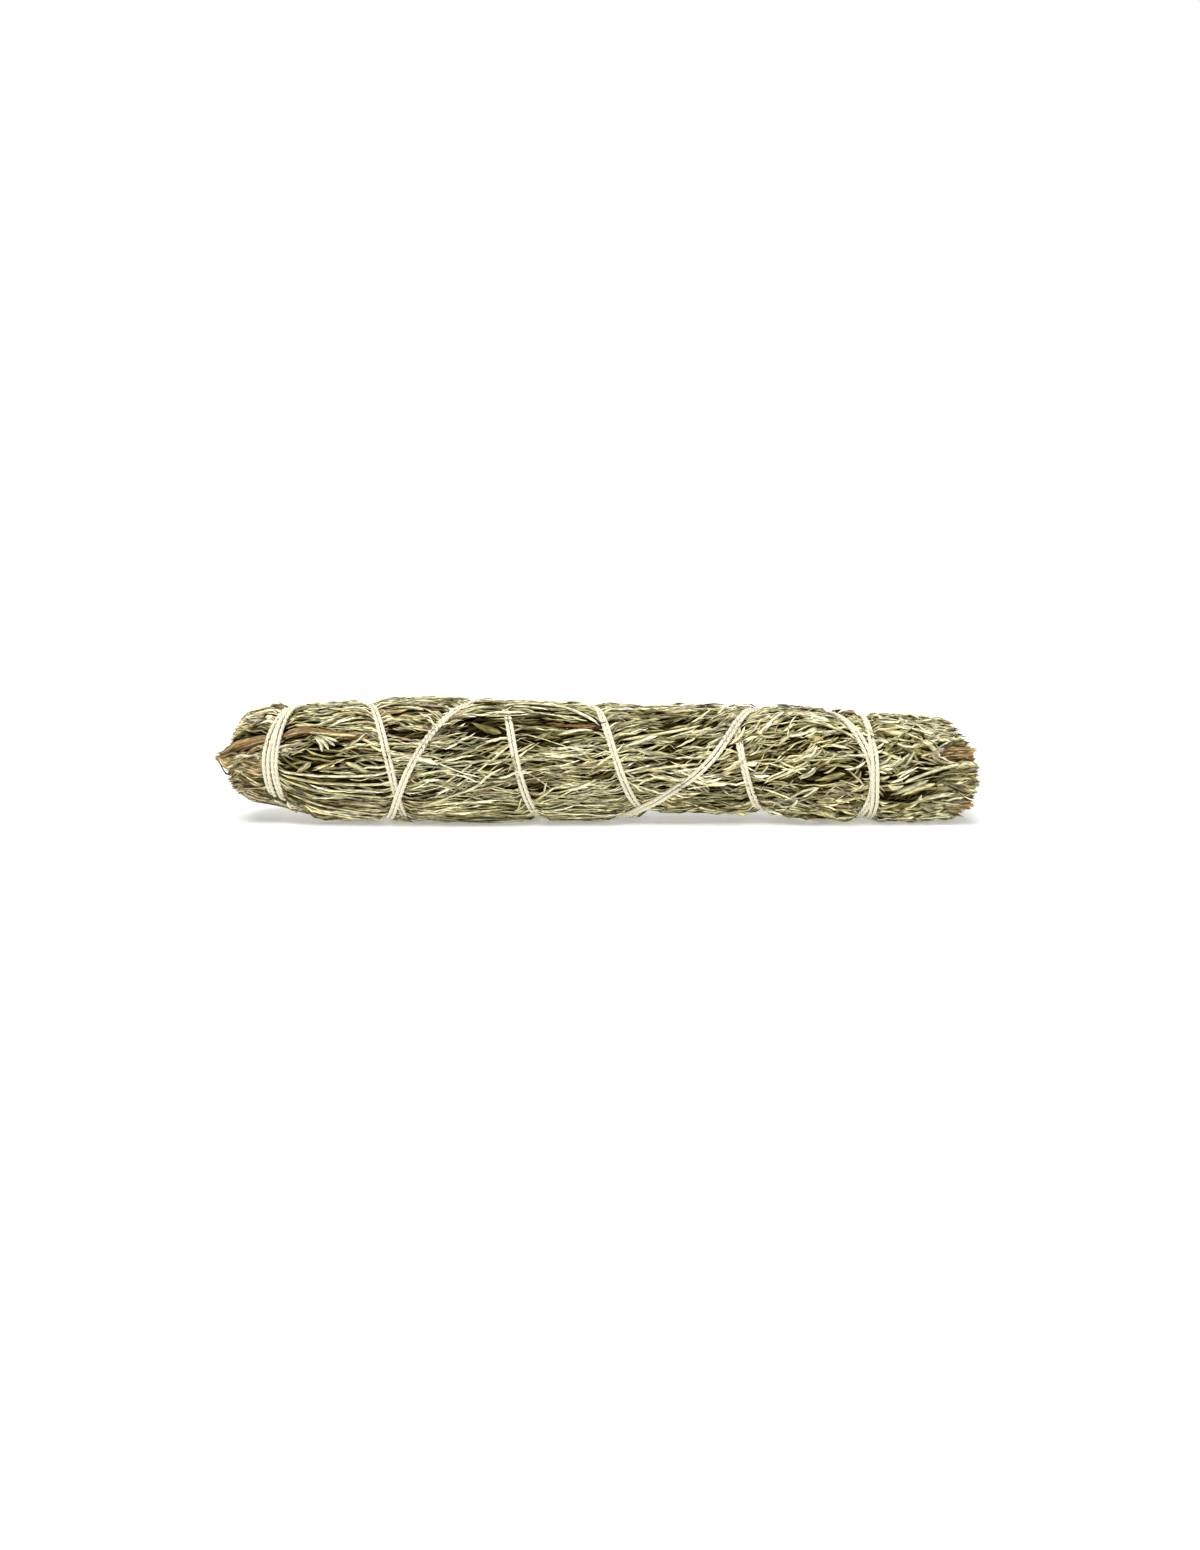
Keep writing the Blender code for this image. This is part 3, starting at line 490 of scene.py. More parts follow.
class Surface:
    """How high the leaves may stand: pressed down under the string and flattened on the ground."""

    # Grid that the room is kept on: its steps and its end
    STEP_X = 0.75
    STEP_DEG = 2.5
    END = 114.0
    # Highest level of the leaves, and the depth and share of the radius at which their core starts
    FULL = 0.4
    DEEP = 5.2
    CORE_SHARE = 0.4
    # Depth of the leaves under the string, and the distances from it at which they rise again
    UNDER_STRING = 1.1
    PRESS = (1.2, 2.3)
    STRING_REACH = 7.0
    GROUND = 0.12
    LEAST = 0.05

    def __init__(self):
        self.x = np.arange(-self.END, self.END + 0.1, self.STEP_X)
        self.angle = np.arange(0.0, 360.0, self.STEP_DEG)
        turns, places, _ = STRING_PATH
        shown = np.ones(len(turns), bool)
        for number, start, end in COVERED:
            shown &= ~((turns > start + 360.0 * number) & (turns < end + 360.0 * number))
        turns, places = turns[shown], places[shown]
        near = np.full((len(self.x), len(self.angle)), 1e9)
        for turn, spot in zip(turns, places):
            columns = np.abs(self.x - spot) < self.STRING_REACH
            around = (self.angle - turn + 180.0) % 360.0 - 180.0
            distance = np.hypot(self.x[columns, None] - spot, np.radians(around)[None, :] * MEAN_RADIUS)
            near[columns] = np.minimum(near[columns], distance)
        share = ease(np.clip((near - self.PRESS[0]) / (self.PRESS[1] - self.PRESS[0]), 0, 1))
        top = -self.UNDER_STRING + share * (self.FULL + self.UNDER_STRING)
        self.room = (top + self.DEEP) / (self.FULL + self.DEEP)

    def read(self, x, angle):
        """Share of their height above the core that leaves keep."""
        column = np.clip((x - self.x[0]) / self.STEP_X, 0, len(self.x) - 1.001)
        row = (np.degrees(angle) % 360.0) / self.STEP_DEG
        left, low = column.astype(int), row.astype(int) % len(self.angle)
        over, up = column - left, row - row.astype(int)
        high = (low + 1) % len(self.angle)
        lower = self.room[left, low] * (1 - over) + self.room[left + 1, low] * over
        upper = self.room[left, high] * (1 - over) + self.room[left + 1, high] * over
        return lower * (1 - up) + upper * up

    def press(self, points):
        """Move points in towards the core where the string or the ground presses."""
        x = points[..., 0]
        angle, radius = unplace(points)
        core_radius = bunch_radius(x) - self.DEEP
        base = np.maximum(core_radius, self.CORE_SHARE * bunch_radius(x))
        full = bunch_radius(x) + self.FULL
        down = np.maximum(-np.sin(angle), self.LEAST)
        ground = np.where(down > self.LEAST, (bunch_height(x) - self.GROUND) / down, np.inf)
        room = np.clip(np.minimum(self.read(x, angle), (ground - base) / (full - base)), self.LEAST, 1)
        pressed = np.where(radius > base, base + (radius - base) * room, radius)
        return place(x, angle, np.minimum(pressed, ground))


SURFACE = Surface()


def smooth_noise(seed, x, angle, wave):
    """Soft noise between about -1 and 1 over the bunch's surface, from a few seeded waves."""
    rng = np.random.default_rng(seed)
    most = int(GIRTH / wave) + 1
    total = 0
    for _ in range(NOISE_WAVES):
        along = rng.uniform(0.5, 1.6) * 2 * math.pi / wave
        around = rng.integers(-most, most + 1)
        total = total + np.sin(along * x + around * angle + rng.uniform(0, 2 * math.pi))
    return total / NOISE_SIZE


def hollow_light(x, angle):
    """Share of painted light that leaves keep at places on the surface: painted shade in hollows."""
    degrees = np.degrees(angle) % 360.0
    light = np.ones(np.shape(x))
    for spot, around, reach, reach_deg, kept in HOLLOWS:
        weight = np.exp(-((x - spot) / reach) ** 2 - ((degrees - around) / reach_deg) ** 2)
        light = light * (1 - (1 - kept) * weight)
    return light


def flow_slope(x, angle):
    """Slope in radians of the leaves at places on the surface, positive where they rise to +X."""
    degrees = np.degrees(angle) % 360.0
    slope = FLOW_PULL * FLOW_NOISE_DEG * smooth_noise(5, x, angle, FLOW_WAVE)
    total = FLOW_PULL
    for spot, around, lean in FLOW:
        weight = np.exp(-((x - spot) / FLOW_REACH[0]) ** 2 - ((degrees - around) / FLOW_REACH[1]) ** 2)
        slope = slope + weight * lean
        total = total + weight
    return np.radians(slope / total)


class Form:
    """One leaf or twig shape: stations along it, corners and faces, with places for its texture."""

    fold_share = 1.0
    def __init__(self, stations):
        self.stations = np.array(stations)
        self.corners = []
        self.quads = []
        self.tris = []
        self.quad_uv = []
        self.tri_uv = []

    def corner(self, station, across, up):
        self.corners.append((station, across, up))
        return len(self.corners) - 1

    def face(self, corners, uv):
        if len(corners) == 4:
            self.quads.append(corners)
            self.quad_uv.append(uv)
        else:
            self.tris.append(corners)
            self.tri_uv.append(uv)

    def done(self):
        corners = np.array(self.corners).reshape(-1, 3)
        self.station = corners[:, 0].astype(int)
        self.across = corners[:, 1]
        self.up = corners[:, 2]
        self.quads = np.array(self.quads, np.int32).reshape(-1, 4)
        self.tris = np.array(self.tris, np.int32).reshape(-1, 3)
        self.quad_uv = np.array(self.quad_uv).reshape(-1, 4, 2)
        self.tri_uv = np.array(self.tri_uv).reshape(-1, 3, 2)
        return self


def rod_form(widths, section):
    """A closed strip or rod: a section drawn along stations, with a point at each end."""
    stations = np.linspace(0, 1, len(widths) + 2)
    form = Form(stations)
    count = len(section)
    first = form.corner(0, 0, 0)
    rings = [[form.corner(number + 1, across * width, up * min(1.0, width * 1.6)) for across, up in section]
             for number, width in enumerate(widths)]
    last = form.corner(len(stations) - 1, 0, 0)
    for n in range(count):
        m = (n + 1) % count
        left, right = n / count, (n + 1) / count
        form.face((first, rings[0][m], rings[0][n]), ((left, 0), (right, stations[1]), (left, stations[1])))
        for k in range(len(rings) - 1):
            low, high = stations[k + 1], stations[k + 2]
            form.face((rings[k][n], rings[k][m], rings[k + 1][m], rings[k + 1][n]),
                      ((left, low), (right, low), (right, high), (left, high)))
        left_end, right_end = (left, stations[-2]), (right, stations[-2])
        form.face((rings[-1][n], rings[-1][m], last), (left_end, right_end, (left, 1)))
    return form.done()


def lobed_form(notch, spread):
    """A wedge-shaped leaf whose tip is cut into three lobes."""
    stations = [0, 0.22, 0.44, notch, (notch + 0.94) / 2, 0.94, 1]
    form = Form(stations)
    root = form.corner(0, 0, 0)
    tip = form.corner(6, 0, 0)
    ridge = [[form.corner(k, 0, up) for k in (1, 2, 3, 4)] for up in (1, -1)]
    for side in (1, -1):
        rim = [form.corner(station, side * across, 0) for station, across in
               ((1, 0.28), (2, 0.5), (4, spread), (5, spread * 1.05), (3, 0.3), (4, 0.26))]
        for layer, flip in ((0, side < 0), (1, side > 0)):
            spine = ridge[layer]
            shift = 0.25 + 0.5 * layer
            for corners in ((root, spine[0], rim[0]), (rim[0], spine[0], spine[1], rim[1]),
                            (rim[1], spine[1], spine[2], rim[4]), (rim[1], rim[4], rim[3], rim[2]),
                            (rim[4], spine[2], spine[3], rim[5]), (rim[5], spine[3], tip)):
                order = corners if flip else corners[::-1]
                uv = [(shift + 0.22 * form.corners[c][1], form.stations[form.corners[c][0]]) for c in order]
                form.face(tuple(order), tuple(uv))
    return form.done()


LENS = [(-1, 0), (0, -1), (1, 0), (0, 1)]
RIDGE = [(-1, 0), (1, 0), (0, 1)]
PLANK = [(-1, 0), (1, 0), (0.45, 0.9), (-0.45, 0.9)]
ROUND = [(math.cos(turn), math.sin(turn)) for turn in np.linspace(0, 2 * math.pi, 6)[:-1]]
FLAT_BLADE = rod_form([0.5, 0.85, 1.0, 0.92, 0.6], PLANK)
BLADE = rod_form([0.55, 0.88, 1.0, 0.66], RIDGE)
DEEP_BLADE = rod_form([0.7, 1.0, 0.7], RIDGE)
CUPPED = rod_form([0.5, 0.85, 1.0, 0.7], LENS)
BROAD = rod_form([0.3, 0.6, 0.85, 1.0, 0.95, 0.6], LENS)
LONG_PLANK = rod_form([0.6, 0.9, 0.8, 1, 0.85, 1, 0.9, 0.95, 0.8, 0.55], PLANK)
LONG_BLADE = rod_form([0.5, 0.8, 0.95, 1, 1, 1, 1, 0.95, 0.9, 0.8, 0.65, 0.4], RIDGE)
TWIG = rod_form([0.9, 1, 1, 1, 1, 1, 1, 1, 0.95, 0.9, 0.85, 0.8, 0.7, 0.5], ROUND)
LOBED = lobed_form(0.74, 0.78)
FORKED = lobed_form(0.58, 0.9)
CUPPED.fold_share = -0.7

# Forms of the listed pieces, with their thickness and fold
LAID_KINDS = {"twig": (TWIG, 0.9, 0.0), "strip": (LONG_PLANK, 0.22, -0.25), "leaf": (BROAD, 0.22, -0.25)}

# Layers of an outer sprig's tufts, from the inside out: number of tufts, levels, share of long
# leaves, and the forms, each with its share and its gain in width
LAYERS = [
    (40, (-3.6, -2.9), 0.4, [(DEEP_BLADE, 1.0, 1.0)]),
    (60, (-2.8, -2.1), 0.4, [(BLADE, 1.0, 1.0)]),
    (115, (-1.9, -1.2), 0.4, [(BLADE, 0.8, 1.0), (CUPPED, 0.2, 1.0)]),
    (124, (-0.9, 0.15), 0.25, [(FLAT_BLADE, 0.56, 1.0), (CUPPED, 0.22, 1.0), (LONG_BLADE, 0.08, 0.8),
                               (LOBED, 0.07, 2.0), (FORKED, 0.07, 2.1)]),
]
# Forms of the leaves at the ends: of an outer sprig at the left and the right, of an inner sprig
OUTER_END_FORMS = (
    [(FLAT_BLADE, 0.54, 1.0), (CUPPED, 0.3, 1.0), (LOBED, 0.08, 1.5), (FORKED, 0.08, 1.7)],
    [(FLAT_BLADE, 0.3, 1.0), (CUPPED, 0.3, 1.0), (LOBED, 0.2, 1.5), (FORKED, 0.2, 1.7)],
)
INNER_END_FORMS = [(BLADE, 0.5, 1.0), (CUPPED, 0.24, 1.0), (LOBED, 0.13, 1.6), (FORKED, 0.13, 1.8)]


def laid_line(points, level, stations):
    """Middle line through hand-placed points (place, angle) at one level above the bunch's radius."""
    x, angle = (np.array(column, float) for column in zip(*points))
    knots = np.linspace(0, 1, len(x))
    t = np.linspace(0, 1, stations)
    x, angle = (hermite(knots, values, t) if len(values) > 2 else np.interp(t, knots, values)
                for values in (x, angle))
    return place(x, np.radians(angle), bunch_radius(x) + level)


def stem_line(name, stations):
    """Evenly spaced points along a woody stem, how far along it each is, and its radius there."""
    x, share, angle, radius = (np.array(column, float) for column in zip(*STEMS[name]))
    corners = place(x, np.radians(angle), bunch_radius(x) * share)
    travel = travel_along(corners)
    t = np.linspace(0, travel[-1], stations)
    line = np.stack([hermite(travel, corners[:, axis], t) for axis in range(3)], axis=-1)
    return line, t, np.interp(t, travel, radius)


def shown_routes():
    """Middle lines of the stems and twigs where they show, each with the width to keep clear."""
    routes = []
    for name, start, end in SHOWN_STEMS:
        line, _, radius = stem_line(name, STEM_STATIONS)
        shown = (line[:, 0] > start) & (line[:, 0] < end)
        routes.append((line[shown], float(radius[shown].mean())))
    for _, _, width, level, points in LAID:
        routes.append((laid_line(points, level, LAID_STATIONS), 0.5 * width))
    return routes


SHOWN = shown_routes()


class Heap:
    """Gathers the faces of many small closed shapes, then makes one mesh of them."""

    CELL_MARGIN = 0.06
    CELLS_TALL = 4
    SHARP_DEG = 38

    def __init__(self):
        self.points = []
        self.quads = []
        self.tris = []
        self.colours = []
        self.grain = []
        self.quad_uv = []
        self.tri_uv = []
        self.count = 0
        self.cells = 0

    def add(self, form, points, colours, grain):
        """Copies of a form: arrays of copies by corners by 3."""
        copies, corners = points.shape[:2]
        offsets = self.count + corners * np.arange(copies)[:, None, None]
        self.points.append(points.reshape(-1, 3))
        self.colours.append(colours.reshape(-1, 3))
        self.grain.append(grain.reshape(-1, 3))
        self.quads.append((form.quads[None] + offsets).reshape(-1, 4))
        self.tris.append((form.tris[None] + offsets).reshape(-1, 3))
        cells = self.cells + np.arange(copies)
        self.quad_uv.append((cells, form.quad_uv))
        self.tri_uv.append((cells, form.tri_uv))
        self.count += copies * corners
        self.cells += copies

    def cell_uv(self, cells, uv):
        """Texture places: each copy has its own tall cell of the sheet."""
        columns = math.ceil(math.sqrt(self.cells * self.CELLS_TALL))
        rows = math.ceil(self.cells / columns)
        corner = np.stack([cells % columns, cells // columns], axis=-1)[:, None, None, :]
        inside = self.CELL_MARGIN + (1 - 2 * self.CELL_MARGIN) * uv[None]
        return ((corner + inside) / np.array([columns, rows])).reshape(-1, 2)

    def build(self, name, surface):
        """One mesh object of all shapes, with texture places, colours with any painted shade, and grain."""
        mesh = bpy.data.meshes.new(name)
        points = np.concatenate(self.points) * MM
        quads = np.concatenate(self.quads)
        tris = np.concatenate(self.tris)
        mesh.vertices.add(len(points))
        mesh.vertices.foreach_set("co", points.astype(np.float32).ravel())
        mesh.loops.add(quads.size + tris.size)
        mesh.loops.foreach_set("vertex_index", np.concatenate([quads.ravel(), tris.ravel()]).astype(np.int32))
        mesh.polygons.add(len(quads) + len(tris))
        starts = np.concatenate([4 * np.arange(len(quads)), 4 * len(quads) + 3 * np.arange(len(tris))])
        mesh.polygons.foreach_set("loop_start", starts.astype(np.int32))
        mesh.update(calc_edges=True)
        sheet = mesh.uv_layers.new(name="OFBake")
        uv = [self.cell_uv(*group) for group in self.quad_uv + self.tri_uv]
        sheet.uv.foreach_set("vector", np.concatenate(uv).astype(np.float32).ravel())
        colour_and_shade = mesh.attributes.new("colour_and_shade", "FLOAT_COLOR", "POINT")
        colours = np.concatenate(self.colours)
        colours = np.concatenate([colours, np.ones((len(colours), 1))], axis=1)
        colour_and_shade.data.foreach_set("color", colours.astype(np.float32).ravel())
        grain = mesh.attributes.new("grain", "FLOAT_VECTOR", "POINT")
        grain.data.foreach_set("vector", np.concatenate(self.grain).astype(np.float32).ravel())
        mesh.shade_smooth()
        mesh.set_sharp_from_angle(angle=math.radians(self.SHARP_DEG))
        mesh.materials.append(surface)
        made = bpy.data.objects.new(name, mesh)
        bpy.context.scene.collection.objects.link(made)
        return made


class Leaves:
    """Many leaves of one form, described by arrays with a value for each leaf."""

    # Waviness: its phase by place and angle, its turns by length, and the same of the wave outwards
    PHASE = (7.3, 11.1)
    WAVE_TURN = 1.2
    RISE_PHASE = 1.7
    RISE_WAVE = 0.7
    # How the lift and an end's radius grow from root to tip, as powers
    LIFT_POWER = 1.5
    END_POWER = 1.4
    LEAST_BEND = 1e-3
    LEAST_RADIUS = 4.0

    def __init__(self, rng, x, angle, level):
        self.rng = rng
        count = len(x)
        self.x = x
        self.angle = angle
        self.level = level
        for name in ("lift", "heading", "bend", "length", "width", "thick", "fold", "roll", "twist", "wave"):
            setattr(self, name, np.zeros(count))
        self.colour = np.tile(np.array(KHAKI), (count, 1))
        # Painted shade: the deeper a leaf lies, the darker its colour is drawn, and tip_gain paints its tip
        # lighter
        self.light = np.interp(level, *DEPTH_SHADE)
        self.tip_gain = np.ones(count)
        self.radius_from = None
        self.radius_to = None
        self.route = None

    def centre(self, stations):
        """Middle lines of all leaves at the stations, as points."""
        if self.route is not None:
            knots = np.linspace(0, 1, self.route.shape[1])
            return np.array([[np.interp(stations, knots, route[:, axis]) for axis in range(3)]
                             for route in self.route]).transpose(0, 2, 1)
        t = stations[None, :]
        bend = np.where(np.abs(self.bend) < self.LEAST_BEND, self.LEAST_BEND, self.bend)[:, None]
        start = self.heading[:, None]
        length = self.length[:, None]
        x = self.x[:, None] + length * (np.sin(start + bend * t) - np.sin(start)) / bend
        around = length * (np.cos(start) - np.cos(start + bend * t)) / bend
        phase = (self.x * self.PHASE[0] + self.angle * self.PHASE[1])[:, None]
        around = around + self.wave[:, None] * np.sin(t * length * self.WAVE_TURN + phase)
        x = np.clip(x, OUTLINE_X[0], OUTLINE_X[-1])
        if self.radius_from is None:
            radius = bunch_radius(x) + self.level[:, None]
        else:
            rise = (self.radius_to - self.radius_from)[:, None]
            radius = self.radius_from[:, None] + rise * t ** self.END_POWER
        radius = radius + self.lift[:, None] * t ** self.LIFT_POWER
        radius = radius + self.RISE_WAVE * self.wave[:, None] * np.sin(t * length + self.RISE_PHASE * phase)
        angle = self.angle[:, None] - around / np.maximum(radius, self.LEAST_RADIUS)
        return place(x, angle, radius)

    def grow(self, form, heap):
        """Bend the form along every leaf and add the copies to the heap."""
        line = self.centre(form.stations)
        side, up = line_axes(line)
        roll = self.roll[:, None] + self.twist[:, None] * form.stations
        side, up = turned(side, up, roll), turned(up, -side, roll)
        station = form.station
        half = self.width[:, None] / 2
        across = form.across * half
        fold = self.fold[:, None] * form.fold_share
        rise = form.up * self.thick[:, None] / 2 + np.abs(form.across) * half * fold
        points = line[:, station] + side[:, station] * across[..., None] + up[:, station] * rise[..., None]
        points = SURFACE.press(points)
        points[..., 0] = np.clip(points[..., 0], OUTLINE_X[0], OUTLINE_X[-1])
        # Painted shade in each leaf's colour: darker at its root, edges and underside and the deeper it lies,
        # lighter at exposed tips, warmer where dark
        reach = form.stations[station]
        shade = ROOT_SHADE + (TIP_SHADE - ROOT_SHADE) * reach
        shade = shade * (1 - EDGE_SHADE * np.abs(form.across) ** EDGE_POWER)
        shade = shade * np.where(form.up < 0, UNDER_SHADE, 1.0)
        gain = 1 + (self.tip_gain[:, None] - 1) * reach ** TIP_GAIN_POWER
        shade = shade * self.light[:, None] * gain
        colours = self.colour[:, None, :] * shade[..., None] ** WARM_SHADE
        length = self.length[:, None] * reach
        number = self.rng.uniform(0, 40, len(self.x))[:, None]
        heap.add(form, points, colours, np.stack(np.broadcast_arrays(length, across, number), axis=-1))


def leaf_colours(rng, x, angle, count):
    """Colours of leaves: mixed greys, greens and straws, browner at the left end."""
    brown = np.clip((BROWN_FROM - x) / BROWN_RAMP, 0, 1) * np.clip(0.45 - np.sin(angle), 0.25, 1)
    shares = np.tile(LEAF_SHARES, (count, 1))
    shares[:, PURPLE_KIND] += 0.25 * brown
    shares[:, BROWN_KIND] += 0.9 * brown
    patch = smooth_noise(31, x, angle, PATCH_WAVE)
    shares[:, STRAW_KIND] *= np.clip(1 + 1.2 * patch, 0.2, 3)
    shares[:, SAGE_KIND] *= np.clip(1 - 1.5 * patch, 0.2, 3)
    shares /= shares.sum(axis=1, keepdims=True)
    draw = rng.uniform(0, 1, count)
    kind = (draw[:, None] > np.cumsum(shares, axis=1)).sum(axis=1).clip(0, len(LEAF_COLOURS) - 1)
    light = rng.normal(*LEAF_LIGHT, count).clip(*LEAF_LIGHT_LIMITS)
    return LEAF_COLOURS[kind] * light[:, None]


def pick_colours(rng, palette, count, light, spread):
    """Random colours from a palette with shares, each a little lighter or darker."""
    colours, shares = zip(*palette)
    chosen = np.array(colours)[rng.choice(len(colours), count, p=shares)]
    return chosen * rng.normal(light, spread, count)[:, None]


def tuft_leaves(rng, low, high, tufts, levels, long_share):
    """Tufts of leaves over one sector of the surface: each tuft fans out from a common root."""
    span = SPRIG_ENDS[1] - SPRIG_ENDS[0]
    columns = int(math.sqrt(tufts * span / (math.radians(high - low) * MEAN_RADIUS)))
    rows = math.ceil(tufts / columns)
    grid_x, grid_a = np.meshgrid(np.arange(columns), np.arange(rows), indexing="ij")
    tufts = grid_x.size
    x = SPRIG_ENDS[0] + span * (grid_x.ravel() + rng.uniform(0, 1, tufts)) / columns
    angle = np.radians(low + (high - low) * (grid_a.ravel() + rng.uniform(0, 1, tufts)) / rows)
    forward = rng.uniform(0, 1, tufts) < np.interp(x, *FORWARD_SHARE)
    slope = flow_slope(x, angle) + np.radians(rng.normal(0, TUFT_SLOPE_DEG, tufts))
    level = rng.uniform(*levels, tufts)
    tone = rng.normal(1, TUFT_TONE, tufts)
    which = np.repeat(np.arange(tufts), TUFT_LEAVES)
    count = len(which)
    spread = rng.normal(0, 1, count)
    root_x = x[which] + rng.normal(0, ROOT_SPREAD[0], count)
    root_a = angle[which] + rng.normal(0, ROOT_SPREAD[1], count)
    lower = np.clip((np.sin(root_a) + 0.1) / -0.5, 0, 1) * np.clip((45 - root_x) / 30, 0, 1)
    straight = 1 - LOWER_STRAIGHTER * lower
    turn = np.radians(np.interp(root_x, LEAF_PLACES, LEAF_TURNS)) * straight
    bend = np.radians(np.interp(root_x, LEAF_PLACES, LEAF_BENDS)) * straight
    leaves = Leaves(rng, root_x, root_a, level[which] + rng.normal(0, ROOT_SPREAD[2], count))
    leaves.length = np.interp(root_x, LEAF_PLACES, LEAF_LENGTHS) * rng.uniform(*LENGTH_RANGE, count)
    long = rng.uniform(0, 1, count) < long_share
    leaves.length *= (1 + LOWER_LONGER * lower) * np.where(long, LONG_GAIN, 1.0)
    leaves.heading = slope[which] + turn * spread + np.where(forward[which], 0.0, math.pi)
    leaves.bend = bend * rng.normal(0, 1, count) - np.radians(FAN_BACK_DEG) * spread
    leaves.x = root_x - 0.5 * leaves.length * np.cos(leaves.heading)
    leaves.x = np.clip(leaves.x, SPRIG_ENDS[0] - 3, SPRIG_ENDS[1] + 3)
    leaves.angle = root_a + 0.5 * leaves.length * np.sin(leaves.heading) / MEAN_RADIUS
    leaves.lift = rng.uniform(*LIFT_RANGE, count)
    leaves.width = np.interp(root_x, LEAF_PLACES, LEAF_WIDTHS) * rng.uniform(*WIDTH_RANGE, count)
    leaves.width *= 1 - LOWER_NARROWER * lower
    leaves.thick = leaves.width * rng.uniform(*THICK_RANGE, count)
    leaves.width *= np.where(rng.uniform(0, 1, count) < BROAD_SHARE, BROAD_GAIN, 1.0)
    leaves.fold = np.tan(np.radians(rng.uniform(*FOLD_DEG, count)))
    leaves.roll = np.radians(rng.normal(0, ROLL_DEG, count))
    leaves.twist = np.radians(rng.normal(0, TWIST_DEG, count))
    leaves.wave = rng.uniform(*WAVE_RANGE, count)
    leaves.colour = leaf_colours(rng, x[which], angle[which], count) * tone[which, None]
    # Painted shade in hollows
    leaves.light = leaves.light * hollow_light(root_x, root_a)
    return keep_clear(leaves)


def keep_clear(leaves):
    """The leaves that lie clear of the stems and twigs that show on the surface."""
    line = leaves.centre(np.linspace(0, 1, 7))
    angle, radius = unplace(line)
    free = np.ones(len(leaves.x), bool)
    for route, reach in SHOWN:
        route_angle, route_radius = unplace(route)
        around = (angle[..., None] - route_angle + math.pi) % (2 * math.pi) - math.pi
        away = np.hypot(line[..., 0, None] - route[:, 0], around * route_radius)
        covers = (away < reach + 0.3) & (radius[..., None] > route_radius - 0.4 * reach)
        free &= ~covers.any(axis=(1, 2))
    return split(leaves, free)


def split(leaves, chosen):
    """Part of a set of leaves, picked by a mask."""
    part = Leaves(leaves.rng, leaves.x[chosen], leaves.angle[chosen], leaves.level[chosen])
    for name, values in vars(leaves).items():
        if isinstance(values, np.ndarray):
            setattr(part, name, values[chosen])
    return part


def grow_mixed(leaves, heap, mix):
    """Share out a set of leaves between forms, each with its share and its gain in width."""
    count = len(leaves.x)
    draw = leaves.rng.uniform(0, 1, count) if len(mix) > 1 else np.zeros(count)
    start = 0.0
    for form, share, widen in mix:
        part = split(leaves, (draw >= start) & (draw < start + share))
        part.width = part.width * widen
        part.grow(form, heap)
        start += share


def end_leaves(rng, low, high, count, right, shares):
    """Leaves whose tips make one end of the bunch, at all depths."""
    angle = np.radians(rng.uniform(low, high, count))
    share = np.sqrt(rng.uniform(shares[0] ** 2, shares[1] ** 2, count))
    reach, end = (RIGHT_REACH, 1) if right else (LEFT_REACH, -1)
    radius_to = share * (rng.uniform(*END_SPREAD[right], count) * END_RADIUS[right])
    tip = np.interp(radius_to * np.sin(angle), *zip(*reach))
    tip = tip - end * np.abs(rng.normal(0, TIP_SCATTER[right], count))
    tip = tip - end * SIDE_TAPER[right] * (share * np.cos(angle)) ** 2
    root = tip - end * rng.uniform(*END_ROOTS, count)
    radius_to = np.minimum(radius_to, bunch_radius(tip) + 2.2)
    radius_from = share * bunch_radius(root) - rng.uniform(0.2, 1.4, count)
    leaves = Leaves(rng, root, angle, np.zeros(count))
    leaves.radius_from = radius_from
    leaves.radius_to = radius_to
    leaves.length = np.abs(tip - root)
    leaves.heading = np.radians(rng.normal(0, END_HEADING_DEG, count)) + (0 if right else math.pi)
    leaves.bend = np.radians(rng.normal(0, END_BEND_DEG, count))
    leaves.lift = rng.normal(*END_LIFT, count)
    leaves.width = rng.uniform(*END_WIDTH, count) * END_WIDEN[right]
    leaves.thick = leaves.width * rng.uniform(*END_THICK, count)
    leaves.fold = np.tan(np.radians(rng.uniform(*FOLD_DEG, count)))
    leaves.roll = np.radians(rng.normal(0, END_ROLL_DEG, count))
    leaves.twist = np.radians(rng.normal(0, END_TWIST_DEG, count))
    leaves.wave = rng.uniform(*END_WAVE, count)
    leaves.colour = leaf_colours(rng, tip, angle, count)
    # Painted shade: leaves deep inside the end are drawn darker, and their tips are painted lighter
    leaves.light = np.interp(share, *END_LIGHT) * hollow_light(root, angle)
    leaves.tip_gain = np.clip(TIP_LIGHT / leaves.light, 1, TIP_GAIN_LIMIT)
    return keep_clear(leaves)


def tip_fibres(rng, low, high, count):
    """Brown strips of bark and stem that fan out over the surface from the pointed left end."""
    t = np.linspace(0, 1, 14)[None, :]
    last = rng.uniform(low, high, (count, 1))
    start = rng.uniform(*FIBRE_START, (count, 1))
    x = start + rng.uniform(*FIBRE_LENGTH, (count, 1)) * t
    angle = TIP_DEG + (last - TIP_DEG) * t ** 0.6 + rng.normal(0, 5, (count, 1)) * np.sin(5 * t)
    radius = bunch_radius(x) * rng.uniform(0.9, 1.0, (count, 1)) + 0.15 * np.sin(9 * t + last)
    fibres = Leaves(rng, start[:, 0], np.radians(last[:, 0]), np.zeros(count))
    fibres.route = place(x, np.radians(angle), radius)
    fibres.length = rng.uniform(*FIBRE_LENGTH, count)
    fibres.width = rng.uniform(*FIBRE_WIDTH, count)
    fibres.thick = rng.uniform(*FIBRE_THICK, count)
    fibres.fold = np.tan(np.radians(rng.uniform(*FIBRE_FOLD_DEG, count)))
    fibres.roll = np.radians(rng.normal(0, FIBRE_ROLL_DEG, count))
    fibres.colour = pick_colours(rng, FIBRE_COLOURS, count, 1.0, 0.25)
    fibres.light = rng.uniform(*FIBRE_LIGHT, count)
    return fibres


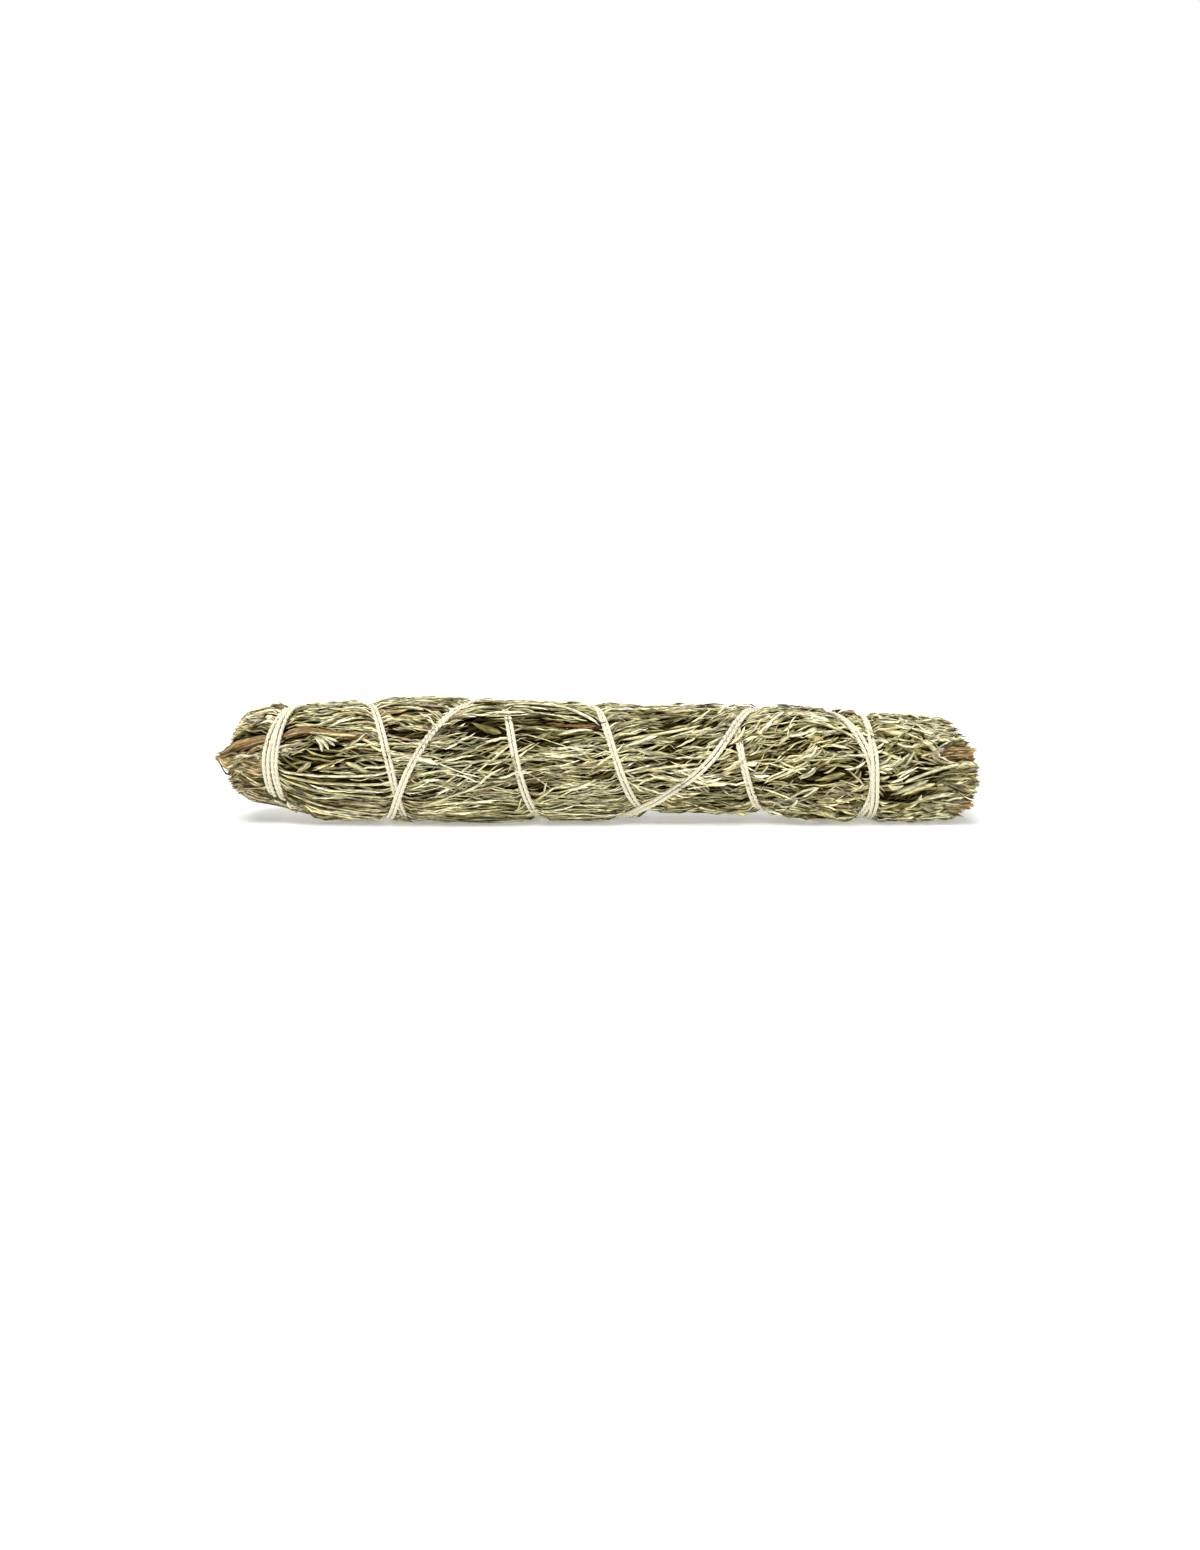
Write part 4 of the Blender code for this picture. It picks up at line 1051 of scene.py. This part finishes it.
def long_twigs(rng, low, high, count, levels):
    """Long thin stems lying along the bunch among the leaves."""
    length = rng.uniform(*TWIG_LENGTH, count)
    x = rng.uniform(SPRIG_ENDS[0], SPRIG_ENDS[1] - 20, count)
    angle = np.radians(rng.uniform(low, high, count))
    twigs = Leaves(rng, x, angle, rng.uniform(*levels, count))
    twigs.length = np.minimum(length, TWIG_END - x)
    twigs.heading = flow_slope(x, angle) * TWIG_SLOPE + np.radians(rng.normal(0, 3, count))
    twigs.bend = flow_slope(x + twigs.length, angle) * TWIG_SLOPE - twigs.heading
    twigs.width = rng.uniform(*TWIG_WIDTH, count)
    twigs.thick = twigs.width * rng.uniform(*TWIG_THICK, count)
    twigs.wave = rng.uniform(*TWIG_WAVE, count)
    twigs.colour = pick_colours(rng, TWIG_COLOURS, count, 0.95, 0.12)
    # Painted shade in hollows
    twigs.light = twigs.light * hollow_light(x + twigs.length / 2, angle)
    return keep_clear(twigs)


def laid_pieces(rng, low, high, heap):
    """The listed twigs and leaves whose middle lies in one sprig's sector."""
    for kind, colour, width, level, points in LAID:
        middle = points[len(points) // 2][1]
        if (middle - low) % 360.0 >= high - low:
            continue
        form, thick, fold = LAID_KINDS[kind]
        leaf = Leaves(rng, np.zeros(1), np.zeros(1), np.full(1, level))
        line = laid_line(points, level, LAID_STATIONS)
        leaf.route = line[None]
        leaf.length = travel_along(line)[-1:]
        leaf.width = np.full(1, width)
        leaf.thick = leaf.width * thick
        leaf.fold = np.full(1, fold)
        leaf.colour = np.array([colour])
        leaf.grow(form, heap)


def ring_quads(form, stations, count):
    """Faces between rings of count corners, with one ring at each station."""
    for n in range(count):
        left, right, m = n / count, (n + 1) / count, (n + 1) % count
        for k in range(stations - 1):
            low, high = k / stations, (k + 1) / stations
            form.face((k * count + n, k * count + m, (k + 1) * count + m, (k + 1) * count + n),
                      ((left, low), (right, low), (right, high), (left, high)))


def core(rng, low, high, inner, outer, ends, heap):
    """Body of packed twigs under a sprig's leaves, coloured dark as painted shade, between two shares and
    depths of the radius.
    """
    x = np.linspace(*ends, CORE_STATIONS)[:, None]
    turn = np.radians(np.linspace(low, high, CORE_ACROSS))[None, :]
    size = bunch_radius(x)
    ripple = RIPPLE * np.sin(turn * RIPPLE_ROUND + x * RIPPLE_TWIST + rng.uniform(0, 6))
    ripple = ripple + BUMPS * smooth_noise(int(rng.integers(1000)), x, turn, BUMP_WAVE)
    top = place(x, turn, outer[0] * size - outer[1] + ripple)
    bottom = place(x, turn[:, ::-1], inner[0] * size - inner[1])
    rings = np.concatenate([top, bottom], axis=1)
    count = rings.shape[1]
    form = Form([0])
    ring_quads(form, CORE_STATIONS, count)
    for start, flip in ((0, True), ((CORE_STATIONS - 1) * count, False)):
        for n in range(CORE_ACROSS - 1):
            corners = (start + n, start + n + 1, start + count - 2 - n, start + count - 1 - n)
            order = corners[::-1] if flip else corners
            form.face(order, ((0, 0), (0.02, 0), (0.02, 0.02), (0, 0.02)))
    points = SURFACE.press(rings.reshape(1, -1, 3))
    # Painted shade: the whole core takes one near-black colour
    colours = np.tile(np.array(DARK_CORE), (1, points.shape[1], 1))
    grain = np.stack([points[..., 0], points[..., 1] + points[..., 2], 0 * points[..., 0]], axis=-1)
    heap.add(form.done(), points, colours, grain)


def finish_piece(heap, name, surface, solid):
    """Make one piece of a heap, in place of one of the part's solids."""
    piece = heap.build(name, surface)
    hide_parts(solid)
    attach(piece, "root")


def leafy_sprig(number, surface):
    """One outer sprig: its core, dark with painted shade, twigs and leaves, as one piece."""
    rng = np.random.default_rng(SEED + number)
    middle = -90.0 + 360.0 * number / OUTER_SPRIGS
    low, high = middle - OUTER_HALF_DEG, middle + OUTER_HALF_DEG
    heap = Heap()
    core(rng, low - 1, high + 1, (INNER_SHARE, 0.0), (1.0, CORE_DEPTH), SPRIG_ENDS, heap)
    long_twigs(rng, low, high, *DEEP_TWIGS).grow(TWIG, heap)
    for tufts, levels, long_share, mix in LAYERS:
        grow_mixed(tuft_leaves(rng, low, high, tufts, levels, long_share), heap, mix)
    long_twigs(rng, low, high, *UPPER_TWIGS).grow(TWIG, heap)
    laid_pieces(rng, low, high, heap)
    for right in (False, True):
        ends = end_leaves(rng, low, high, OUTER_END_LEAVES, right, OUTER_END_SHARES)
        grow_mixed(ends, heap, OUTER_END_FORMS[right])
    if low > TIP_DEG - 10:
        last = min(high, TIP_FAN_END)
        tip_fibres(rng, low, last, round(last - low)).grow(LONG_BLADE, heap)
    label = f"{number + 1:02d}"
    finish_piece(heap, "sprig_leaves_" + label, surface, "leafy_sprig_" + label)


def inner_sprig(number, surface):
    """One inner sprig, seen only at the two ends of the bunch."""
    rng = np.random.default_rng(SEED + 100 + number)
    middle = 90.0 + 360.0 * number / INNER_SPRIGS
    low, high = middle - INNER_HALF_DEG, middle + INNER_HALF_DEG
    heap = Heap()
    core(rng, low, high, (MIDDLE_SHARE, 0.0), (INNER_SHARE, 0.0), INNER_ENDS, heap)
    for right in (False, True):
        ends = end_leaves(rng, low, high, INNER_END_LEAVES, right, INNER_END_SHARES)
        grow_mixed(ends, heap, INNER_END_FORMS)
    finish_piece(heap, f"inner_leaves_{number + 1}", surface, f"inner_sprig_{number + 1}")


def node(tree, kind, **inputs):
    """A shader node with its inputs set or linked."""
    made = tree.nodes.new(kind)
    for name, value in inputs.items():
        socket = made.inputs[name.replace("_", " ")]
        if hasattr(value, "is_output"):
            tree.links.new(value, socket)
        else:
            socket.default_value = value
    return made


def new_material(name, roughness, specular):
    """A material with its node tree and its shader."""
    material = bpy.data.materials.new(name)
    material.use_nodes = True
    shader = material.node_tree.nodes["Principled BSDF"]
    shader.inputs["Roughness"].default_value = roughness
    shader.inputs["Specular IOR Level"].default_value = specular
    return material, material.node_tree, shader


def streaked_material(name, finish, stretch, fineness, noise, light):
    """A dry, streaked surface: the piece's colour with any painted shade, lighter and darker along its grain.
    """
    material, tree, shader = new_material(name, *finish)
    colour_and_shade = tree.nodes.new("ShaderNodeAttribute")
    colour_and_shade.attribute_name = "colour_and_shade"
    grain = tree.nodes.new("ShaderNodeAttribute")
    grain.attribute_name = "grain"
    stretched = node(tree, "ShaderNodeMapping", Vector=grain.outputs["Vector"], Scale=stretch)
    streaks = node(tree, "ShaderNodeTexNoise", Vector=stretched.outputs["Vector"], Scale=fineness,
                   Detail=3.0)
    ramp = node(tree, "ShaderNodeMapRange", Value=streaks.outputs["Fac"], From_Min=noise[0],
                From_Max=noise[1], To_Min=light[0], To_Max=light[1])
    shaded = tree.nodes.new("ShaderNodeVectorMath")
    shaded.operation = "SCALE"
    tree.links.new(colour_and_shade.outputs["Color"], shaded.inputs[0])
    tree.links.new(ramp.outputs["Result"], shaded.inputs["Scale"])
    tree.links.new(shaded.outputs["Vector"], shader.inputs["Base Color"])
    bump = node(tree, "ShaderNodeBump", Height=streaks.outputs["Fac"], Strength=0.5, Distance=0.00015)
    tree.links.new(bump.outputs["Normal"], shader.inputs["Normal"])
    return material


def sweep_tube(line, radii, sides, spin):
    """Points of a tube round a line: a ring of points at each of its points, turned by spin."""
    along = unit(np.gradient(line, axis=0))
    side = unit(np.cross(along, np.array([0.31, 0.52, 0.79])))
    up = np.cross(side, along)
    turn = np.reshape(spin, (-1, 1)) + np.linspace(0, 2 * math.pi, sides, endpoint=False)
    ring = turned(side[:, None], up[:, None], turn)
    return line[:, None] + ring * np.broadcast_to(radii, (len(line), sides))[..., None]


def tube_form(stations, sides):
    """Faces of a tube of rings, closed at both ends by a middle point."""
    form = Form([0])
    ring_quads(form, stations, sides)
    first, last = stations * sides, stations * sides + 1
    end = (stations - 1) * sides
    for n in range(sides):
        left, right, m = n / sides, (n + 1) / sides, (n + 1) % sides
        form.face((first, m, n), ((left, 0), (right, 0), (left, 0)))
        form.face((end + n, end + m, last), ((left, 1), (right, 1), (left, 1)))
    return form.done()


def add_tube(heap, line, radii, sides, colour, caps=None, spin=0.0):
    """A tube through a line of points, added to a heap."""
    rings = sweep_tube(line, radii, sides, spin)
    points = np.concatenate([rings.reshape(-1, 3), line[[0, -1]]])[None]
    colours = np.tile(np.array(colour), (1, points.shape[1], 1))
    colours[0, -2:] = colour if caps is None else caps
    travel = travel_along(line)
    along = np.append(np.repeat(travel, sides), [0, travel[-1]])
    around = np.append(np.tile(np.arange(sides) / sides, len(line)), [0, 0])
    grain = np.stack([along, GRAIN_ROUND * around, np.full(len(along), GRAIN_NUMBER)], axis=-1)[None]
    heap.add(tube_form(len(line), sides), points, colours, grain)


def bark(rng, line, radius, count):
    """Strips of bark and splintered wood that lie along a woody stem, all round it."""
    stations = len(line)
    near_end = rng.uniform(0, 1, count) < STRIP_NEAR_END
    start = np.where(near_end, rng.integers(0, 6, count), rng.integers(0, int(stations * 0.75), count))
    end = np.minimum(start + rng.integers(stations // 5, stations // 2, count), stations - 1)
    side, up = line_axes(line)
    turn = rng.uniform(0, 2 * math.pi, count)
    strips = Leaves(rng, np.zeros(count), np.zeros(count), np.zeros(count))
    strips.route = np.zeros((count, STRIP_STATIONS, 3))
    for n in range(count):
        spot = np.linspace(start[n], end[n], STRIP_STATIONS).astype(int)
        drift = turn[n] + 0.3 * np.sin(spot / 7.0 + n)
        loose = rng.uniform(0, 0.5) * np.abs(np.linspace(-1, 1, STRIP_STATIONS)) ** 3
        lift = radius[spot] + 0.08 + loose
        strips.route[n] = line[spot] + turned(up[spot], side[spot], drift) * lift[:, None]
    strips.roll = turn
    strips.length = (end - start).astype(float)
    strips.width = rng.uniform(*STRIP_WIDTH, count)
    strips.thick = rng.uniform(*STRIP_THICK, count)
    strips.fold = np.full(count, STRIP_FOLD)
    strips.colour = pick_colours(rng, BARK_COLOURS, count, 1.0, 0.16)
    strips.light = rng.uniform(*STRIP_LIGHT, count)
    return strips


def woody_stem(name, surface):
    """A woody stem with ridged bark and a paler cut end."""
    rng = np.random.default_rng(len(name))
    line, t, radius = stem_line(name, STEM_STATIONS)
    turn = np.linspace(0, 2 * math.pi, STEM_SIDES, endpoint=False)[None, :]
    share = BARK_SHARE
    for (height, number, twist), start in zip(BARK_RIDGES, (rng.uniform(0, 6), 0.0, 0.0)):
        share = share + height * np.sin(number * turn + twist * t[:, None] + start)
    heap = Heap()
    short = slice(STEM_SETBACK, None)
    # Painted shade: the tube is darker than its bark strips, so the grooves between them look shaded
    add_tube(heap, line[short], (radius[:, None] * share)[short], STEM_SIDES, SHADED_WOOD, CUT_WOOD)
    bark(rng, line, radius * 0.9, BARK_STRIPS).grow(LONG_BLADE, heap)
    finish_piece(heap, "stem_" + name.removeprefix("woody_stem_"), surface, name)


def tie_knot(heap, middle):
    """The knot that joins the string's two ends, with two frayed tails."""
    rng = np.random.default_rng(SEED + 300)
    angle, _ = unplace(middle)
    out = np.array([0.0, math.cos(angle), math.sin(angle)])
    side = np.array([1.0, 0.0, 0.0])
    axes = np.stack([side, np.cross(out, side), out])
    t = np.linspace(0, 2 * math.pi, KNOT_STATIONS)
    loop = np.stack([np.sin(t) + 2 * np.sin(2 * t), np.cos(t) - 2 * np.cos(2 * t), -np.sin(3 * t)], axis=-1)
    loop = loop * np.array([KNOT_SIZE / 3, KNOT_SIZE / 3, KNOT_SIZE * 0.4])
    root = middle + out * KNOT_OUT
    add_tube(heap, root + loop @ axes, KNOT_CORD, 8, COTTON, spin=t * 3)
    share = np.linspace(0, 1, 9)[:, None]
    for tail in KNOT_TAILS:
        tip = middle + np.array(tail) @ axes
        for _ in range(TAIL_FIBRES):
            spread = rng.normal(0, TAIL_SCATTER, 3)
            curl = TAIL_CURL * np.sin(share * 5 + spread[0]) * axes[1]
            bow = TAIL_BOW * np.sin(share * math.pi) * out + curl
            start = root + 0.25 * spread
            fibre = start + (tip + spread * np.array(TAIL_SPREAD) - start) * share + bow
            fibre[:, 2] = np.maximum(fibre[:, 2], TAIL_LOWEST)
            add_tube(heap, fibre, np.linspace(*TAIL_RADII, 9)[:, None], 4, COTTON_DARK)


def fuzz(heap, line, side, out):
    """Fine loose fibres standing off the string."""
    rng = np.random.default_rng(SEED + 301)
    share = np.linspace(0, 1, 5)[:, None]
    for _ in range(FUZZ_HAIRS):
        spot = int(rng.integers(5, len(line) - 5))
        lean = rng.normal(0, 1, 3)
        ahead = line[spot + 1] - line[spot]
        direction = unit(lean[0] * side[spot] + abs(lean[1]) * out[spot] + 1.2 * lean[2] * ahead)
        start = line[spot] + side[spot] * rng.uniform(-1, 1) + out[spot] * 0.3
        bow = out[spot] * HAIR_BOW * np.sin(3 * share)
        hair = start + direction * share * rng.uniform(*HAIR_LENGTH) + bow
        hair[:, 2] = np.maximum(hair[:, 2], HAIR_LOWEST)
        add_tube(heap, hair, np.linspace(*HAIR_RADII, 5)[:, None], 3, COTTON)


def tie_string(surface):
    """The doubled cotton cord: two strands side by side, each of three twisted plies."""
    turns, places, lift = STRING_PATH
    down = np.maximum(-np.sin(np.radians(turns)), 0.05)
    ground = (bunch_height(places) - STRING_CLEAR) / down
    radius = np.minimum(bunch_radius(places) - STRING_DEPTH + lift, ground)
    line = place(places, np.radians(turns), radius)
    travel = travel_along(line)
    t = np.linspace(0, travel[-1], int(travel[-1] / STRING_STEP))
    line = np.stack([np.interp(t, travel, line[:, axis]) for axis in range(3)], axis=-1)
    side, out = line_axes(line)
    heap = Heap()
    for strand in (-1, 1):
        tilt = sum(depth * np.sin(t / wave) for depth, wave in TILT_WAVES)
        away = STRAND_OFFSET + AWAY_WAVE[0] * np.sin(t / AWAY_WAVE[1])
        centre = line + strand * away[:, None] * turned(side, out, tilt)
        for ply in range(PLIES):
            turn = 2 * math.pi * (t / PLY_TURN + ply / PLIES) + strand
            add_tube(heap, centre + PLY_OFFSET * turned(side, out, turn), PLY_RADIUS, PLY_SIDES, COTTON)
    tie_knot(heap, (line[0] + line[-1]) / 2)
    fuzz(heap, line, side, out)
    finish_piece(heap, "cotton_string", surface, "tie_string")


def make_camera():
    """The photo's camera: its frame shows the bunch at the photo's scale."""
    data = bpy.data.cameras.new("camera")
    data.sensor_width = SENSOR_WIDTH
    data.lens = data.sensor_width * CAMERA_DISTANCE / (PHOTO_SIZE[1] * MM_PER_PIXEL * MM)
    data.clip_start = 0.01
    camera = bpy.data.objects.new("camera", data)
    bpy.context.scene.collection.objects.link(camera)
    lean = math.radians(CAMERA_ELEVATION_DEG)
    camera.location = (CAMERA_TARGET[0], -CAMERA_DISTANCE * math.cos(lean),
                       CAMERA_TARGET[2] + CAMERA_DISTANCE * math.sin(lean))
    camera.rotation_euler = (math.pi / 2 - lean, 0, 0)
    bpy.context.scene.camera = camera


def sun_light(name, source, strength, spread_deg):
    """A soft sun that shines from the direction of source."""
    data = bpy.data.lights.new(name, "SUN")
    data.energy = strength
    data.angle = math.radians(spread_deg)
    lamp = bpy.data.objects.new(name, data)
    bpy.context.scene.collection.objects.link(lamp)
    lamp.rotation_euler = Vector(source).to_track_quat("Z", "Y").to_euler()


def make_stage():
    """The white floor, the two suns, and a sky that is bright only low down."""
    world = bpy.data.worlds.new("studio")
    bpy.context.scene.world = world
    world.use_nodes = True
    tree = world.node_tree
    towards = tree.nodes.new("ShaderNodeTexCoord")
    height = node(tree, "ShaderNodeSeparateXYZ", Vector=towards.outputs["Generated"])
    glow = node(tree, "ShaderNodeMapRange", Value=height.outputs["Z"], From_Min=SKY_HEIGHTS[0],
                From_Max=SKY_HEIGHTS[1], To_Min=SKY_LIGHTS[0], To_Max=SKY_LIGHTS[1])
    tree.nodes["Background"].inputs["Color"].default_value = (1, 1, 1, 1)
    tree.links.new(glow.outputs["Result"], tree.nodes["Background"].inputs["Strength"])
    for sun in SUNS:
        sun_light(*sun)
    bpy.ops.mesh.primitive_plane_add(size=FLOOR_SIZE, location=(0, 0, 0))
    floor = bpy.context.active_object
    floor.name = "floor"
    material, _, shader = new_material("floor", 0.6, 0.3)
    shader.inputs["Base Color"].default_value = FLOOR_COLOUR
    shader.inputs["Emission Color"].default_value = (1, 1, 1, 1)
    shader.inputs["Emission Strength"].default_value = FLOOR_GLOW
    floor.data.materials.append(material)
    bpy.context.scene.view_settings.view_transform = "Standard"


def main():
    """Make every piece, then the stage and the camera."""
    leaf = streaked_material("sage_leaf_fine", (0.8, 0.04), (0.3, 1.7, 1.0), 1.6, (0.32, 0.68), (0.35, 1.6))
    wood = streaked_material("sage_wood_fine", (0.85, 0.06), (0.4, 4.0, 1.0), 1.5, (0.3, 0.7), (0.6, 1.3))
    cotton = streaked_material("cotton_fine", (0.85, 0.06), (0.8, 3.0, 1.0), 1.5, (0.3, 0.7), (0.85, 1.1))
    tie_string(cotton)
    for name in STEMS:
        woody_stem(name, wood)
    for number in range(OUTER_SPRIGS):
        leafy_sprig(number, leaf)
    for number in range(INNER_SPRIGS):
        inner_sprig(number, leaf)
    make_stage()
    make_camera()


main()
